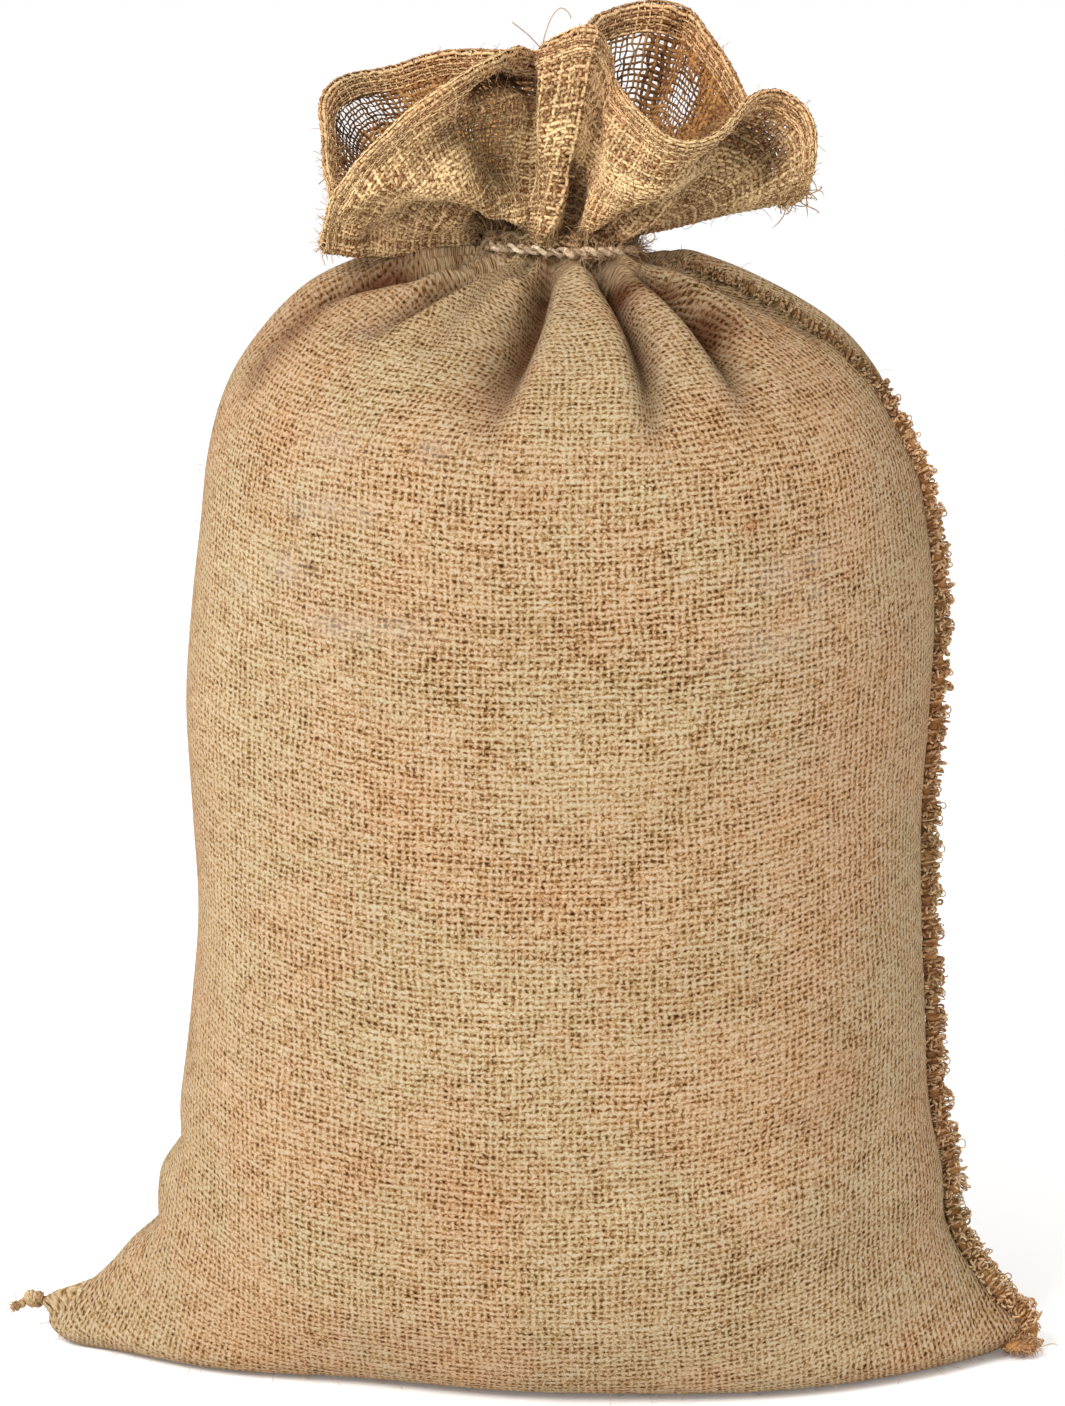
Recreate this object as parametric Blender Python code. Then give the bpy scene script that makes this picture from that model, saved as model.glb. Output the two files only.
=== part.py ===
"""Filled burlap sack, standing on its sewn bottom and tied at the neck.

Metres, +Z up. X runs across the sack to its sewn side, -Y is the front, and the
origin is the middle of the bottom, on the surface that the sack stands on.

Pieces: the sack itself (one cut length of burlap, from the flat bottom to the
ruffled mouth), the standing sewn edge down its right side, the twine round the
neck and the knotted thread end at the lower left corner.
"""
from collections import namedtuple
from math import cos, exp, pi, sin

import bpy
from mathutils import Vector

# Driving dimensions
STEPS_AROUND = 96          # columns of the loft, a multiple of four
CLOTH = 0.0024             # the open mouth: two fuzzy layers at the hem
SEAT_GAP = 0.0003          # air between pieces that touch
TIE_HEIGHT = 0.684
TWINE = 0.0064
NECK_SLACK = 0.0002        # keeps the round twine off the neck's facets
PLEATS = 16
PLEAT_DEPTH = 0.0022
FOLD_START = 0.050         # cloth below the tie over which pleats turn into folds
BELLY_OUT = 0.66           # how the mouth bellies between the neck and its rim
BELLY_UP = 0.36
CAVITY_FOOT = 0.36         # share of the way from neck to rim where the cloth opens
COLLAR_STEPS = 7
CAVITY_STEPS = 5
SEAM_WIDTH = 0.010
SEAM_LOOP = 0.005
SEAM_THICKNESS = 0.004
SEAM_LOOP_PITCH = 0.0125
SEAM_TOP = 0.630
LOOP_WAVE = 2.4            # turns the loops' lengths about, in radians a step
SEAM_TAPER = 6             # steps over which the seam narrows to its upper end
TAIL_THREAD = 0.0032

# The filled body, one row for each level. power 1 gives an oval, more a lens with
# the pointed corners that the flat bottom seam pulls out. dip is how much lower
# the front and the back lie than the sides, where the shoulders slope to the tie.
Section = namedtuple("Section", "height left right front back power dip")
SECTIONS = [Section(*row) for row in (
    # height left   right  front  back   power dip
    (0.0000, 0.289, 0.279, 0.118, 0.114, 1.70, 0.000),
    (0.0050, 0.300, 0.290, 0.133, 0.129, 1.70, 0.000),
    (0.0150, 0.303, 0.298, 0.143, 0.139, 1.70, 0.000),
    (0.0320, 0.288, 0.290, 0.149, 0.146, 1.60, 0.000),
    (0.0550, 0.266, 0.272, 0.154, 0.151, 1.36, 0.000),
    (0.0850, 0.246, 0.257, 0.157, 0.154, 1.12, 0.000),
    (0.1200, 0.233, 0.248, 0.159, 0.156, 0.96, 0.000),
    (0.1650, 0.226, 0.241, 0.158, 0.156, 0.90, 0.000),
    (0.2200, 0.219, 0.234, 0.156, 0.154, 0.88, 0.000),
    (0.2800, 0.214, 0.231, 0.154, 0.152, 0.88, 0.000),
    (0.3450, 0.217, 0.230, 0.152, 0.150, 0.88, 0.000),
    (0.4100, 0.220, 0.234, 0.151, 0.149, 0.90, 0.000),
    (0.4680, 0.216, 0.236, 0.150, 0.147, 0.92, 0.000),
    (0.5200, 0.210, 0.229, 0.146, 0.143, 0.94, 0.000),
    (0.5570, 0.206, 0.220, 0.140, 0.137, 0.96, 0.000),
    (0.5880, 0.199, 0.206, 0.131, 0.128, 0.98, 0.002),
    (0.6140, 0.188, 0.191, 0.119, 0.117, 1.00, 0.004),
    (0.6380, 0.171, 0.174, 0.104, 0.102, 1.00, 0.008),
    (0.6570, 0.153, 0.155, 0.086, 0.084, 1.00, 0.012),
    (0.6700, 0.134, 0.133, 0.070, 0.068, 1.00, 0.015),
    (0.6775, 0.110, 0.110, 0.058, 0.057, 1.00, 0.014),
    (0.6795, 0.082, 0.092, 0.048, 0.048, 1.00, 0.010),
    (0.6765, 0.051, 0.077, 0.039, 0.039, 1.00, 0.006),
    (0.6745, 0.033, 0.059, 0.028, 0.028, 1.00, 0.000),
    (0.6840, 0.031, 0.057, 0.027, 0.027, 1.00, 0.000),
    (0.6920, 0.031, 0.057, 0.027, 0.027, 1.00, 0.000),
    (0.6960, 0.036, 0.062, 0.031, 0.031, 1.00, 0.000),
)]

# Main folds below the tie, one row each. Places are shares of the way round at
# the tie and where the fold dies out; a ridge is positive, a furrow negative.
Fold = namedtuple("Fold", "at_tie at_end width depth reach")
FOLDS = [Fold(*row) for row in (
    # at_tie at_end width  depth   reach
    (0.045, 0.020, 0.024, 0.0070, 0.14),
    (0.085, 0.065, 0.020, -0.0080, 0.16),
    (0.130, 0.120, 0.026, 0.0080, 0.17),
    (0.180, 0.165, 0.020, -0.0075, 0.15),
    (0.215, 0.210, 0.020, 0.0060, 0.14),
    (0.255, 0.240, 0.016, -0.0120, 0.16),
    (0.290, 0.285, 0.024, 0.0100, 0.19),
    (0.325, 0.320, 0.016, -0.0130, 0.19),
    (0.352, 0.345, 0.018, 0.0080, 0.18),
    (0.378, 0.362, 0.014, -0.0100, 0.17),
    (0.420, 0.425, 0.024, 0.0080, 0.16),
    (0.470, 0.475, 0.018, -0.0060, 0.14),
    (0.560, 0.575, 0.024, -0.0080, 0.16),
    (0.640, 0.650, 0.026, 0.0090, 0.17),
    (0.720, 0.715, 0.022, -0.0100, 0.18),
    (0.800, 0.790, 0.026, 0.0085, 0.17),
    (0.880, 0.895, 0.022, -0.0085, 0.16),
    (0.945, 0.960, 0.024, 0.0070, 0.15),
)]

# The rim of the open mouth, one row for each turn of its ruffle, from the low
# left tip along the front to the low right end and back behind.
RimTurn = namedtuple("RimTurn", "side x y height")
RIM = [RimTurn(*row) for row in (
    ("front", -0.133, -0.032, 0.696),
    ("front", -0.121, -0.059, 0.720),
    ("front", -0.091, -0.080, 0.756),
    ("front", -0.059, -0.085, 0.784),
    ("front", -0.032, -0.071, 0.801),
    ("front", -0.013, -0.045, 0.805),
    ("front", -0.004, -0.026, 0.801),
    ("front", 0.006, -0.044, 0.814),
    ("front", 0.017, -0.059, 0.820),
    ("front", 0.026, -0.042, 0.812),
    ("front", 0.033, -0.031, 0.788),
    ("front", 0.055, -0.057, 0.768),
    ("front", 0.081, -0.077, 0.756),
    ("front", 0.105, -0.069, 0.758),
    ("front", 0.126, -0.041, 0.776),
    ("front", 0.145, -0.021, 0.780),
    ("front", 0.162, -0.020, 0.764),
    ("front", 0.168, -0.023, 0.740),
    ("front", 0.158, -0.008, 0.714),
    ("back", 0.140, 0.016, 0.721),
    ("back", 0.126, 0.039, 0.750),
    ("back", 0.114, 0.054, 0.780),
    ("back", 0.098, 0.071, 0.807),
    ("back", 0.077, 0.085, 0.824),
    ("back", 0.051, 0.088, 0.827),
    ("back", 0.026, 0.071, 0.818),
    ("back", 0.010, 0.041, 0.805),
    ("back", -0.005, 0.034, 0.796),
    ("back", -0.033, 0.055, 0.798),
    ("back", -0.067, 0.074, 0.795),
    ("back", -0.101, 0.075, 0.789),
    ("back", -0.124, 0.055, 0.781),
    ("back", -0.136, 0.028, 0.765),
    ("back", -0.137, 0.006, 0.741),
    ("back", -0.138, -0.012, 0.713),
)]

# The twine, one row for each place round the neck: it starts at the front, runs
# to the left and round, and its end lies beside its start.
TwineTurn = namedtuple("TwineTurn", "share rise lap")
TWINE_ROUTE = [TwineTurn(*row) for row in (
    # share rise    lap
    (0.375, -0.0030, 0),
    (0.320, -0.0035, 0),
    (0.250, -0.0030, 0),
    (0.160, 0.0000, 0),
    (0.060, 0.0025, 0),
    (-0.060, 0.0025, 0),
    (-0.200, 0.0015, 0),
    (-0.350, 0.0010, 0),
    (-0.480, 0.0010, 0),
    (-0.560, 0.0015, 0.3),
    (-0.630, 0.0020, 1),
    (-0.690, 0.0030, 1),
)]
TWINE_LAP = 0.0068         # the end lies this much farther out where it laps

# The thread end at the left corner, one row for each place along it.
TailTurn = namedtuple("TailTurn", "out y height girth")
TAIL = [TailTurn(*row) for row in (
    # out    y       height  girth
    (0.0000, 0.0000, 0.0150, 1.6),
    (0.0050, -0.0010, 0.0172, 1.0),
    (0.0090, -0.0015, 0.0168, 0.8),
    (0.0130, -0.0020, 0.0160, 1.9),
    (0.0170, -0.0020, 0.0155, 2.6),
    (0.0205, -0.0015, 0.0145, 1.9),
    (0.0240, 0.0000, 0.0130, 0.9),
    (0.0270, 0.0010, 0.0120, 1.6),
    (0.0300, 0.0015, 0.0110, 1.1),
    (0.0340, 0.0020, 0.0120, 0.5),
)]


def clear_scene():
    for thing in list(bpy.data.objects):
        bpy.data.objects.remove(thing, do_unlink=True)


def cloth_material(name, colour, roughness):
    material = bpy.data.materials.new(name)
    material.use_nodes = True
    shader = material.node_tree.nodes["Principled BSDF"]
    shader.inputs["Base Color"].default_value = (*colour, 1.0)
    shader.inputs["Roughness"].default_value = roughness
    shader.inputs["Metallic"].default_value = 0.0
    return material


def spline_point(before, start, end, after, t):
    """Catmull-Rom point between start and end."""
    return 0.5 * (2 * start + (end - before) * t
                  + (2 * before - 5 * start + 4 * end - after) * t * t
                  + (3 * start - before - 3 * end + after) * t ** 3)


def smooth_run(points, closed, steps=12):
    """Points along the smooth curve through the given ones, both ends included."""
    count = len(points)
    spans = count if closed else count - 1

    def pick(index):
        return points[index % count] if closed else points[max(0, min(count - 1, index))]

    run = [spline_point(pick(span - 1), pick(span), pick(span + 1), pick(span + 2), step / steps)
           for span in range(spans) for step in range(steps)]
    run.append(pick(spans))
    return run


def evenly(run, count):
    """The given number of points, evenly spaced along a run, its end left out."""
    reach = [0.0]
    for start, end in zip(run, run[1:]):
        reach.append(reach[-1] + (end - start).length)
    spaced = []
    span = 0
    for step in range(count):
        target = reach[-1] * step / count
        while reach[span + 1] < target:
            span += 1
        t = (target - reach[span]) / (reach[span + 1] - reach[span])
        spaced.append(run[span].lerp(run[span + 1], t))
    return spaced


def section_point(section, share):
    """Point of a level, at a share of the way round from the left fold."""
    angle = pi + 2 * pi * share
    along = cos(angle)
    across = sin(angle)
    x = along * (section.right if along > 0 else section.left)
    depth = section.back if across > 0 else section.front
    y = (1 if across > 0 else -1) * depth * abs(across) ** section.power
    return Vector((x, y, section.height - section.dip * abs(across)))


def fade(value, start, end):
    """1 at or before start, falling smoothly to 0 at end."""
    t = max(0.0, min(1.0, (value - start) / (end - start)))
    return 1 - t * t * (3 - 2 * t)


def fold_height(share, drop):
    """How far the cloth stands out, at a length of cloth down from the tie."""
    height = 0.0
    for fold in FOLDS:
        t = min(1.0, drop / fold.reach)
        centre = fold.at_tie + (fold.at_end - fold.at_tie) * t
        away = (share - centre + 0.5) % 1.0 - 0.5
        width = fold.width * (0.7 + 0.6 * t)
        rise = 1 - fade(drop, 0.0, FOLD_START)
        height += fold.depth * rise * fade(drop, FOLD_START, fold.reach) * exp(-(away / width) ** 2)
    pleat = PLEAT_DEPTH * fade(drop, 0.0, FOLD_START) * cos(2 * pi * PLEATS * share)
    return height + pleat


def grid_normal(grid, row, column):
    """Outward direction of a grid of points, rows upward and columns round."""
    around = len(grid[0])
    below = grid[max(0, row - 1)][column]
    above = grid[min(len(grid) - 1, row + 1)][column]
    ahead = grid[row][(column + 1) % around]
    behind = grid[row][(column - 1) % around]
    return (ahead - behind).cross(above - below).normalized()


def body_grid():
    """The filled body and the neck, with the folds that the tie gathers."""
    plain = [[section_point(section, step / STEPS_AROUND) for step in range(STEPS_AROUND)]
             for section in SECTIONS]
    last = len(plain) - 1
    grid = [list(ring) for ring in plain]
    for column in range(STEPS_AROUND):
        drop = 0.0
        for row in range(last, 2, -1):
            if SECTIONS[row].height < TIE_HEIGHT:
                drop += (plain[row][column] - plain[row + 1][column]).length
            push = fold_height(column / STEPS_AROUND, drop)
            grid[row][column] = plain[row][column] + push * grid_normal(plain, row, column)
    return grid


def rim_ring():
    """The rim, spaced as cloth: half of it from the left tip to the right end."""
    points = [Vector((turn.x, turn.y, turn.height)) for turn in RIM]
    steps = 12
    run = smooth_run(points, closed=True, steps=steps)
    middle = steps * (sum(turn.side == "front" for turn in RIM) - 1)
    half = STEPS_AROUND // 2
    return evenly(run[:middle + 1], half) + evenly(run[middle:], half)


def collar_point(foot, tip, share):
    """Point on the curve of the cloth from the neck out and up to the rim."""
    belly = Vector((foot.x + BELLY_OUT * (tip.x - foot.x),
                    foot.y + BELLY_OUT * (tip.y - foot.y),
                    foot.z + BELLY_UP * (tip.z - foot.z)))
    return foot.lerp(belly, share).lerp(belly.lerp(tip, share), share)


def mesh_object(name, vertices, faces, material, collection):
    mesh = bpy.data.meshes.new(name)
    mesh.from_pydata(vertices, [], faces)
    mesh.materials.append(material)
    mesh.shade_smooth()
    thing = bpy.data.objects.new(name, mesh)
    collection.objects.link(thing)
    return thing


def cap_faces(first, upward):
    """Faces across a ring, each between the front and the back of the ring."""
    ring = [first + step for step in range(STEPS_AROUND)]
    faces = [(ring[0], ring[1], ring[-1])]
    half = STEPS_AROUND // 2
    for step in range(1, half - 1):
        faces.append((ring[step], ring[step + 1], ring[-step - 1], ring[-step]))
    faces.append((ring[half - 1], ring[half], ring[half + 1]))
    return faces if upward else [face[::-1] for face in faces]


def sack_cloth(material, collection):
    """Loft from the flat bottom over the neck to the rim and down inside."""
    outside = body_grid()
    neck = outside[-1]
    rim = rim_ring()
    for level in range(1, COLLAR_STEPS + 1):
        share = level / COLLAR_STEPS
        outside.append([collar_point(foot, tip, share) for foot, tip in zip(neck, rim)])

    collar = [[collar_point(foot, tip, CAVITY_FOOT + (1 - CAVITY_FOOT) * level / CAVITY_STEPS)
               for foot, tip in zip(neck, rim)] for level in range(CAVITY_STEPS + 1)]
    inside = [[point - CLOTH * grid_normal(collar, row, column)
               for column, point in enumerate(ring)] for row, ring in enumerate(collar)]
    rings = outside + inside[::-1]
    vertices = [point for ring in rings for point in ring]
    faces = cap_faces(0, upward=False)
    for level in range(len(rings) - 1):
        low = level * STEPS_AROUND
        high = low + STEPS_AROUND
        for step in range(STEPS_AROUND):
            ahead = (step + 1) % STEPS_AROUND
            faces.append((low + step, low + ahead, high + ahead, high + step))
    faces += cap_faces((len(rings) - 1) * STEPS_AROUND, upward=True)
    mesh_object("sack_cloth", vertices, faces, material, collection)


def side_seam(material, collection):
    """The sewn edge: a flat comb up the right side, loops along its outer edge."""
    seat = [Vector((section.right + SEAT_GAP, section.height, 0)) for section in SECTIONS
            if SECTIONS[1].height <= section.height <= SEAM_TOP]
    count = round(sum((b - a).length for a, b in zip(seat, seat[1:])) / SEAM_LOOP_PITCH)
    line = evenly(seat, 2 * count) + [seat[-1]]
    outer = []
    for step, point in enumerate(line):
        ahead = line[min(step + 1, len(line) - 1)] - line[max(step - 1, 0)]
        across = Vector((ahead.y, -ahead.x, 0)).normalized()
        taper = min(1.0, (len(line) - step) / SEAM_TAPER)
        loop = SEAM_LOOP * (0.6 + 0.4 * sin(LOOP_WAVE * step)) if step % 2 else 0.0
        edge = point + (SEAM_WIDTH + loop) * taper * across
        edge.y = max(edge.y, SEAT_GAP)
        outer.append(edge)
    outline = seat + outer[::-1]

    curve = bpy.data.curves.new("side_seam", "CURVE")
    curve.dimensions = "2D"
    curve.fill_mode = "BOTH"
    curve.extrude = SEAM_THICKNESS / 2
    spline = curve.splines.new("POLY")
    spline.points.add(len(outline) - 1)
    for corner, point in zip(spline.points, outline):
        corner.co = (point.x, point.y, 0, 1)
    spline.use_cyclic_u = True
    curve.materials.append(material)
    seam = bpy.data.objects.new("side_seam", curve)
    seam.rotation_euler.x = pi / 2
    collection.objects.link(seam)


def tube(name, points, girths, thickness, material, collection):
    """A round strand along the points, with its ends closed."""
    curve = bpy.data.curves.new(name, "CURVE")
    curve.dimensions = "3D"
    curve.bevel_depth = thickness / 2
    curve.bevel_resolution = 2
    curve.use_fill_caps = True
    spline = curve.splines.new("POLY")
    spline.points.add(len(points) - 1)
    for corner, point, girth in zip(spline.points, points, girths):
        corner.co = (*point, 1)
        corner.radius = girth
    curve.materials.append(material)
    strand = bpy.data.objects.new(name, curve)
    collection.objects.link(strand)


def neck_tie(material, collection):
    """One turn of twine in the neck's groove, its end lapped over its start."""
    neck = next(section for section in SECTIONS if section.height == TIE_HEIGHT)
    seat = PLEAT_DEPTH + SEAT_GAP + TWINE / 2 + NECK_SLACK
    run = []
    for share, rise, lap in smooth_run([Vector(turn) for turn in TWINE_ROUTE], closed=False, steps=5):
        angle = pi + 2 * pi * share
        out = Vector((cos(angle) / (neck.left + neck.right), sin(angle) / (neck.front + neck.back), 0))
        out.normalize()
        run.append(section_point(neck, share) + Vector((0, 0, rise)) + (seat + lap * TWINE_LAP) * out)
    tube("neck_tie", run, [1.0] * len(run), TWINE, material, collection)


def corner_tail(material, collection):
    """The knotted end of the sewing thread, out of the left corner's tip."""
    tip = max(section.left for section in SECTIONS) + SEAT_GAP
    places = [Vector((-tip - turn.out, turn.y, turn.height)) for turn in TAIL]
    girths = [Vector((turn.girth, 0, 0)) for turn in TAIL]
    tube("corner_tail", smooth_run(places, closed=False, steps=2),
         [girth.x for girth in smooth_run(girths, closed=False, steps=2)],
         TAIL_THREAD, material, collection)


def build():
    clear_scene()
    sack = bpy.data.collections.new("burlap_sack")
    bpy.context.scene.collection.children.link(sack)
    sack_cloth(cloth_material("jute burlap", (0.48, 0.30, 0.15), 0.90), sack)
    side_seam(cloth_material("jute selvedge", (0.42, 0.25, 0.12), 0.92), sack)
    neck_tie(cloth_material("jute twine", (0.30, 0.18, 0.09), 0.88), sack)
    corner_tail(cloth_material("jute sewing thread", (0.45, 0.28, 0.14), 0.90), sack)


build()
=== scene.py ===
"""Looks of the filled burlap sack: its woven cloth, gathers, ruffled mouth, twine,
sewn side edge, corner knots and loose fibres. Metres, +Z up, -Y is the front."""
from collections import namedtuple
from math import cos, pi, radians, sin

import bmesh
import bpy
import numpy as np
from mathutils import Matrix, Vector


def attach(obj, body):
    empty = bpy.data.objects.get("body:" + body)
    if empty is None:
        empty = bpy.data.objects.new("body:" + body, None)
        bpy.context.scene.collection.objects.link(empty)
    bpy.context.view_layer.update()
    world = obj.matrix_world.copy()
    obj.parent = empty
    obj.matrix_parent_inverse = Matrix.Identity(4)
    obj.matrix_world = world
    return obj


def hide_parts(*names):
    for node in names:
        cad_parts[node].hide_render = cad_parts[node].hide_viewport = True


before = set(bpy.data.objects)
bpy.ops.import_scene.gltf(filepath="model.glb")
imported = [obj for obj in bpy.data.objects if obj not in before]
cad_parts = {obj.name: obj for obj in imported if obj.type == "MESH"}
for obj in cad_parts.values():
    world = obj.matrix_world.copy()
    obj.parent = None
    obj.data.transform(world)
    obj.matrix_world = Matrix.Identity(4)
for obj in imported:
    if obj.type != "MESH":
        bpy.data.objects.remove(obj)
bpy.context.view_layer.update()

# ---------------------------------------------------------------- real sizes
CLOTH_ROUND = 1.22         # the sack's whole girth as flat cloth
CLOTH_UP = 0.87            # from the bottom seam to the tie
MOUTH_UP = 0.165           # from the tie to the rim
WARP_PITCH = 0.0043
WEFT_PITCH = 0.00385
TWINE = 0.0064
TWINE_PLY = 0.27           # half width of a ply, and how far it lies from the middle
TWINE_PITCH = -0.0160      # one whole turn of its plies, wound to the left
TWINE_LAP = 0.0068         # how far out its end lies over its start
THREAD_PITCH = 0.008
OVERCAST_PITCH = 0.0052
SEAM_CURLS = 1800
SEAM_LOOPS = 260
SEAM_TUFTS = 66
TAIL_THREAD = 0.0045
TAIL_DUST = 0.35
KNOT_THICK = 0.0013        # half width of the thread where it is knotted
SEAM_SHADE = 0.55           # painted shade of the sewn edge on the shoulder
SEAM_FLAT = 0.30           # how thick the sewn edge is beside its width
STITCH_THICK = 0.00085
LEAST_ABOVE_FLOOR = 0.001
STRAY_THICK = 0.0006
PLEAT_DEPTH = 0.0022
NECK_PLEATS = 16
CRINKLE = 0.0013           # crinkles below the pleats
GROOVE_DEPTH = 0.0018      # beside the sewn edge
RUFFLE = 0.0016            # small ruffles of the rim
CREASE_SHADE = 36.0         # painted shade: how much darker the cloth is per metre of crease depth
# Painted shade in the groove beside the sewn edge, and round the tie.
GROOVE_SHADE = 0.7
TIE_SHADE = 0.5
MOUTH_HOLLOW_SHADE = 38.0          # painted shade in the mouth's hollows, per metre that they lie back
# Painted shade deep in the mouth, by the neck.
NECK_SHADE = 0.50
# The most painted shade that the body's cloth takes.
MOST_SHADE = 0.92
SHOULDER_LIFT = 0.0115     # how far the gathered cloth stands up round the tie
CORNER_SQUARE = 0.019      # how far the left corner's sides stand out from its tip
EAR_HEIGHT = 0.0225        # the pinched tip of the left corner, and how far it stands out
EAR_OUT = 0.013
WEFT_BOW = 0.035           # how far the wefts rise in the middle of the front and back
SEAT_GAP = 0.0003          # between a thread and what it lies on
BELLY_OUT = 0.66           # how the mouth bellies between the neck and its rim
BELLY_UP = 0.36
MOUTH_SAG = 0.010          # how far its side flaps hang
HEM_DEPTH = 0.015
HEM_THICKNESS = 0.0020     # half of it: how far each layer lies from the middle
YARN_FLATTEN = 0.62
YARN_BOB = 0.00045         # how far a yarn rises over and dips under the next
YARN_LEAST = 0.00025       # half widths of the mouth's yarns
YARN_MOST = 0.0015

BODY_COLUMNS = 340
BASE_ROWS = 9
MOUTH_WARPS = 284
MOUTH_WEFTS = 42
HEM_ROWS = 9
SEAM_STEPS = 420
OPEN_ROW = 137             # the gap row along which one weft has slipped
TIE_ROW = 24               # the section that the twine lies on
FOOT_ROW = 26              # the section where the mouth opens out
FRONT = 0.25               # shares of the way round, from the left fold
RIGHT = 0.50
BACK = 0.75

FOCAL_LENGTH = 128         # mm, on a sensor 36 mm wide
SENSOR_WIDTH = 36
CAMERA_TURN = 4            # degrees, to the sack's right
CAMERA_FAR = 3.0
CAMERA_HEIGHT = 0.987
CAMERA_AIM = 0.407
CAMERA_ASIDE = 0.00825     # brings the sack to its place across the frame
KEY_PLACE = (-1.5, -2.2, 2.4)
KEY_SIZE = 1.4
KEY_POWER = 108.0

WHITE = "#ffffff"
TINTS = ((0.34, "#e9cdb3"), (0.47, "#e6d1bb"), (0.56, "#e1d4bd"), (0.70, "#eadcc6"))
# The woven cloth's tones by height: the yarns' own colour, darkening to painted shade in their low parts and
# the gaps.
BURLAP_TONES_AND_GAP_SHADE = ((0.00, "#40260e"), (0.25, "#805c34"), (0.50, "#bb986c"), (0.75, "#f0d6b0"), (1.0, "#fffaea"))
# Colours laid over the cloth: foxing, which on the far sides stands for painted shade; the fill seen through
# gaps; painted shade in creases; and painted shade on yarns, with dust on the corner thread's end.
FOXED_AND_SHADE, FILL_SHOWING, CREASE_SHADE_TINT, YARN_SHADE_AND_DUST = "#e9c0a8", "#cfc4b6", "#7e5130", "#583a1e"


def table(columns, *rows):
    """The rows as records, with the names of their columns."""
    record = namedtuple("Row", columns)
    return [record(*row) for row in rows]


# The body's outline at each height: how far it reaches to the left, right, front and
# back, how square it is, and how far the middles of its front and back dip.
SECTIONS = table(
    "height left right front back power dip",
    (0.0000, 0.296, 0.279, 0.118, 0.114, 1.70, 0.000),
    (0.0050, 0.308, 0.290, 0.133, 0.129, 1.70, 0.000),
    (0.0150, 0.312, 0.298, 0.143, 0.139, 1.70, 0.000),
    (0.0320, 0.288, 0.282, 0.149, 0.146, 1.60, 0.000),
    (0.0550, 0.266, 0.265, 0.154, 0.151, 1.36, 0.000),
    (0.0850, 0.246, 0.249, 0.157, 0.154, 1.12, 0.000),
    (0.1200, 0.233, 0.246, 0.159, 0.156, 0.96, 0.000),
    (0.1650, 0.226, 0.237, 0.158, 0.156, 0.90, 0.000),
    (0.2200, 0.219, 0.234, 0.156, 0.154, 0.88, 0.000),
    (0.2800, 0.214, 0.231, 0.154, 0.152, 0.88, 0.000),
    (0.3450, 0.217, 0.230, 0.152, 0.150, 0.88, 0.000),
    (0.4100, 0.220, 0.234, 0.151, 0.149, 0.90, 0.000),
    (0.4680, 0.216, 0.236, 0.150, 0.147, 0.92, 0.000),
    (0.5200, 0.210, 0.231, 0.146, 0.143, 0.94, 0.000),
    (0.5570, 0.206, 0.224, 0.140, 0.137, 0.96, 0.000),
    (0.5880, 0.199, 0.212, 0.131, 0.128, 0.98, 0.002),
    (0.6140, 0.188, 0.199, 0.119, 0.117, 1.00, 0.004),
    (0.6380, 0.171, 0.179, 0.104, 0.102, 1.00, 0.008),
    (0.6570, 0.153, 0.152, 0.086, 0.084, 1.00, 0.012),
    (0.6700, 0.134, 0.123, 0.070, 0.068, 1.00, 0.015),
    (0.6775, 0.110, 0.097, 0.058, 0.057, 1.00, 0.014),
    (0.6795, 0.084, 0.083, 0.048, 0.048, 1.00, 0.010),
    (0.6765, 0.056, 0.069, 0.039, 0.039, 1.00, 0.006),
    (0.6745, 0.033, 0.052, 0.028, 0.028, 1.00, 0.000),
    (0.6840, 0.031, 0.049, 0.027, 0.027, 1.00, 0.000),
    (0.6920, 0.031, 0.049, 0.027, 0.027, 1.00, 0.000),
    (0.6960, 0.039, 0.055, 0.031, 0.031, 1.00, 0.000))

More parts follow.
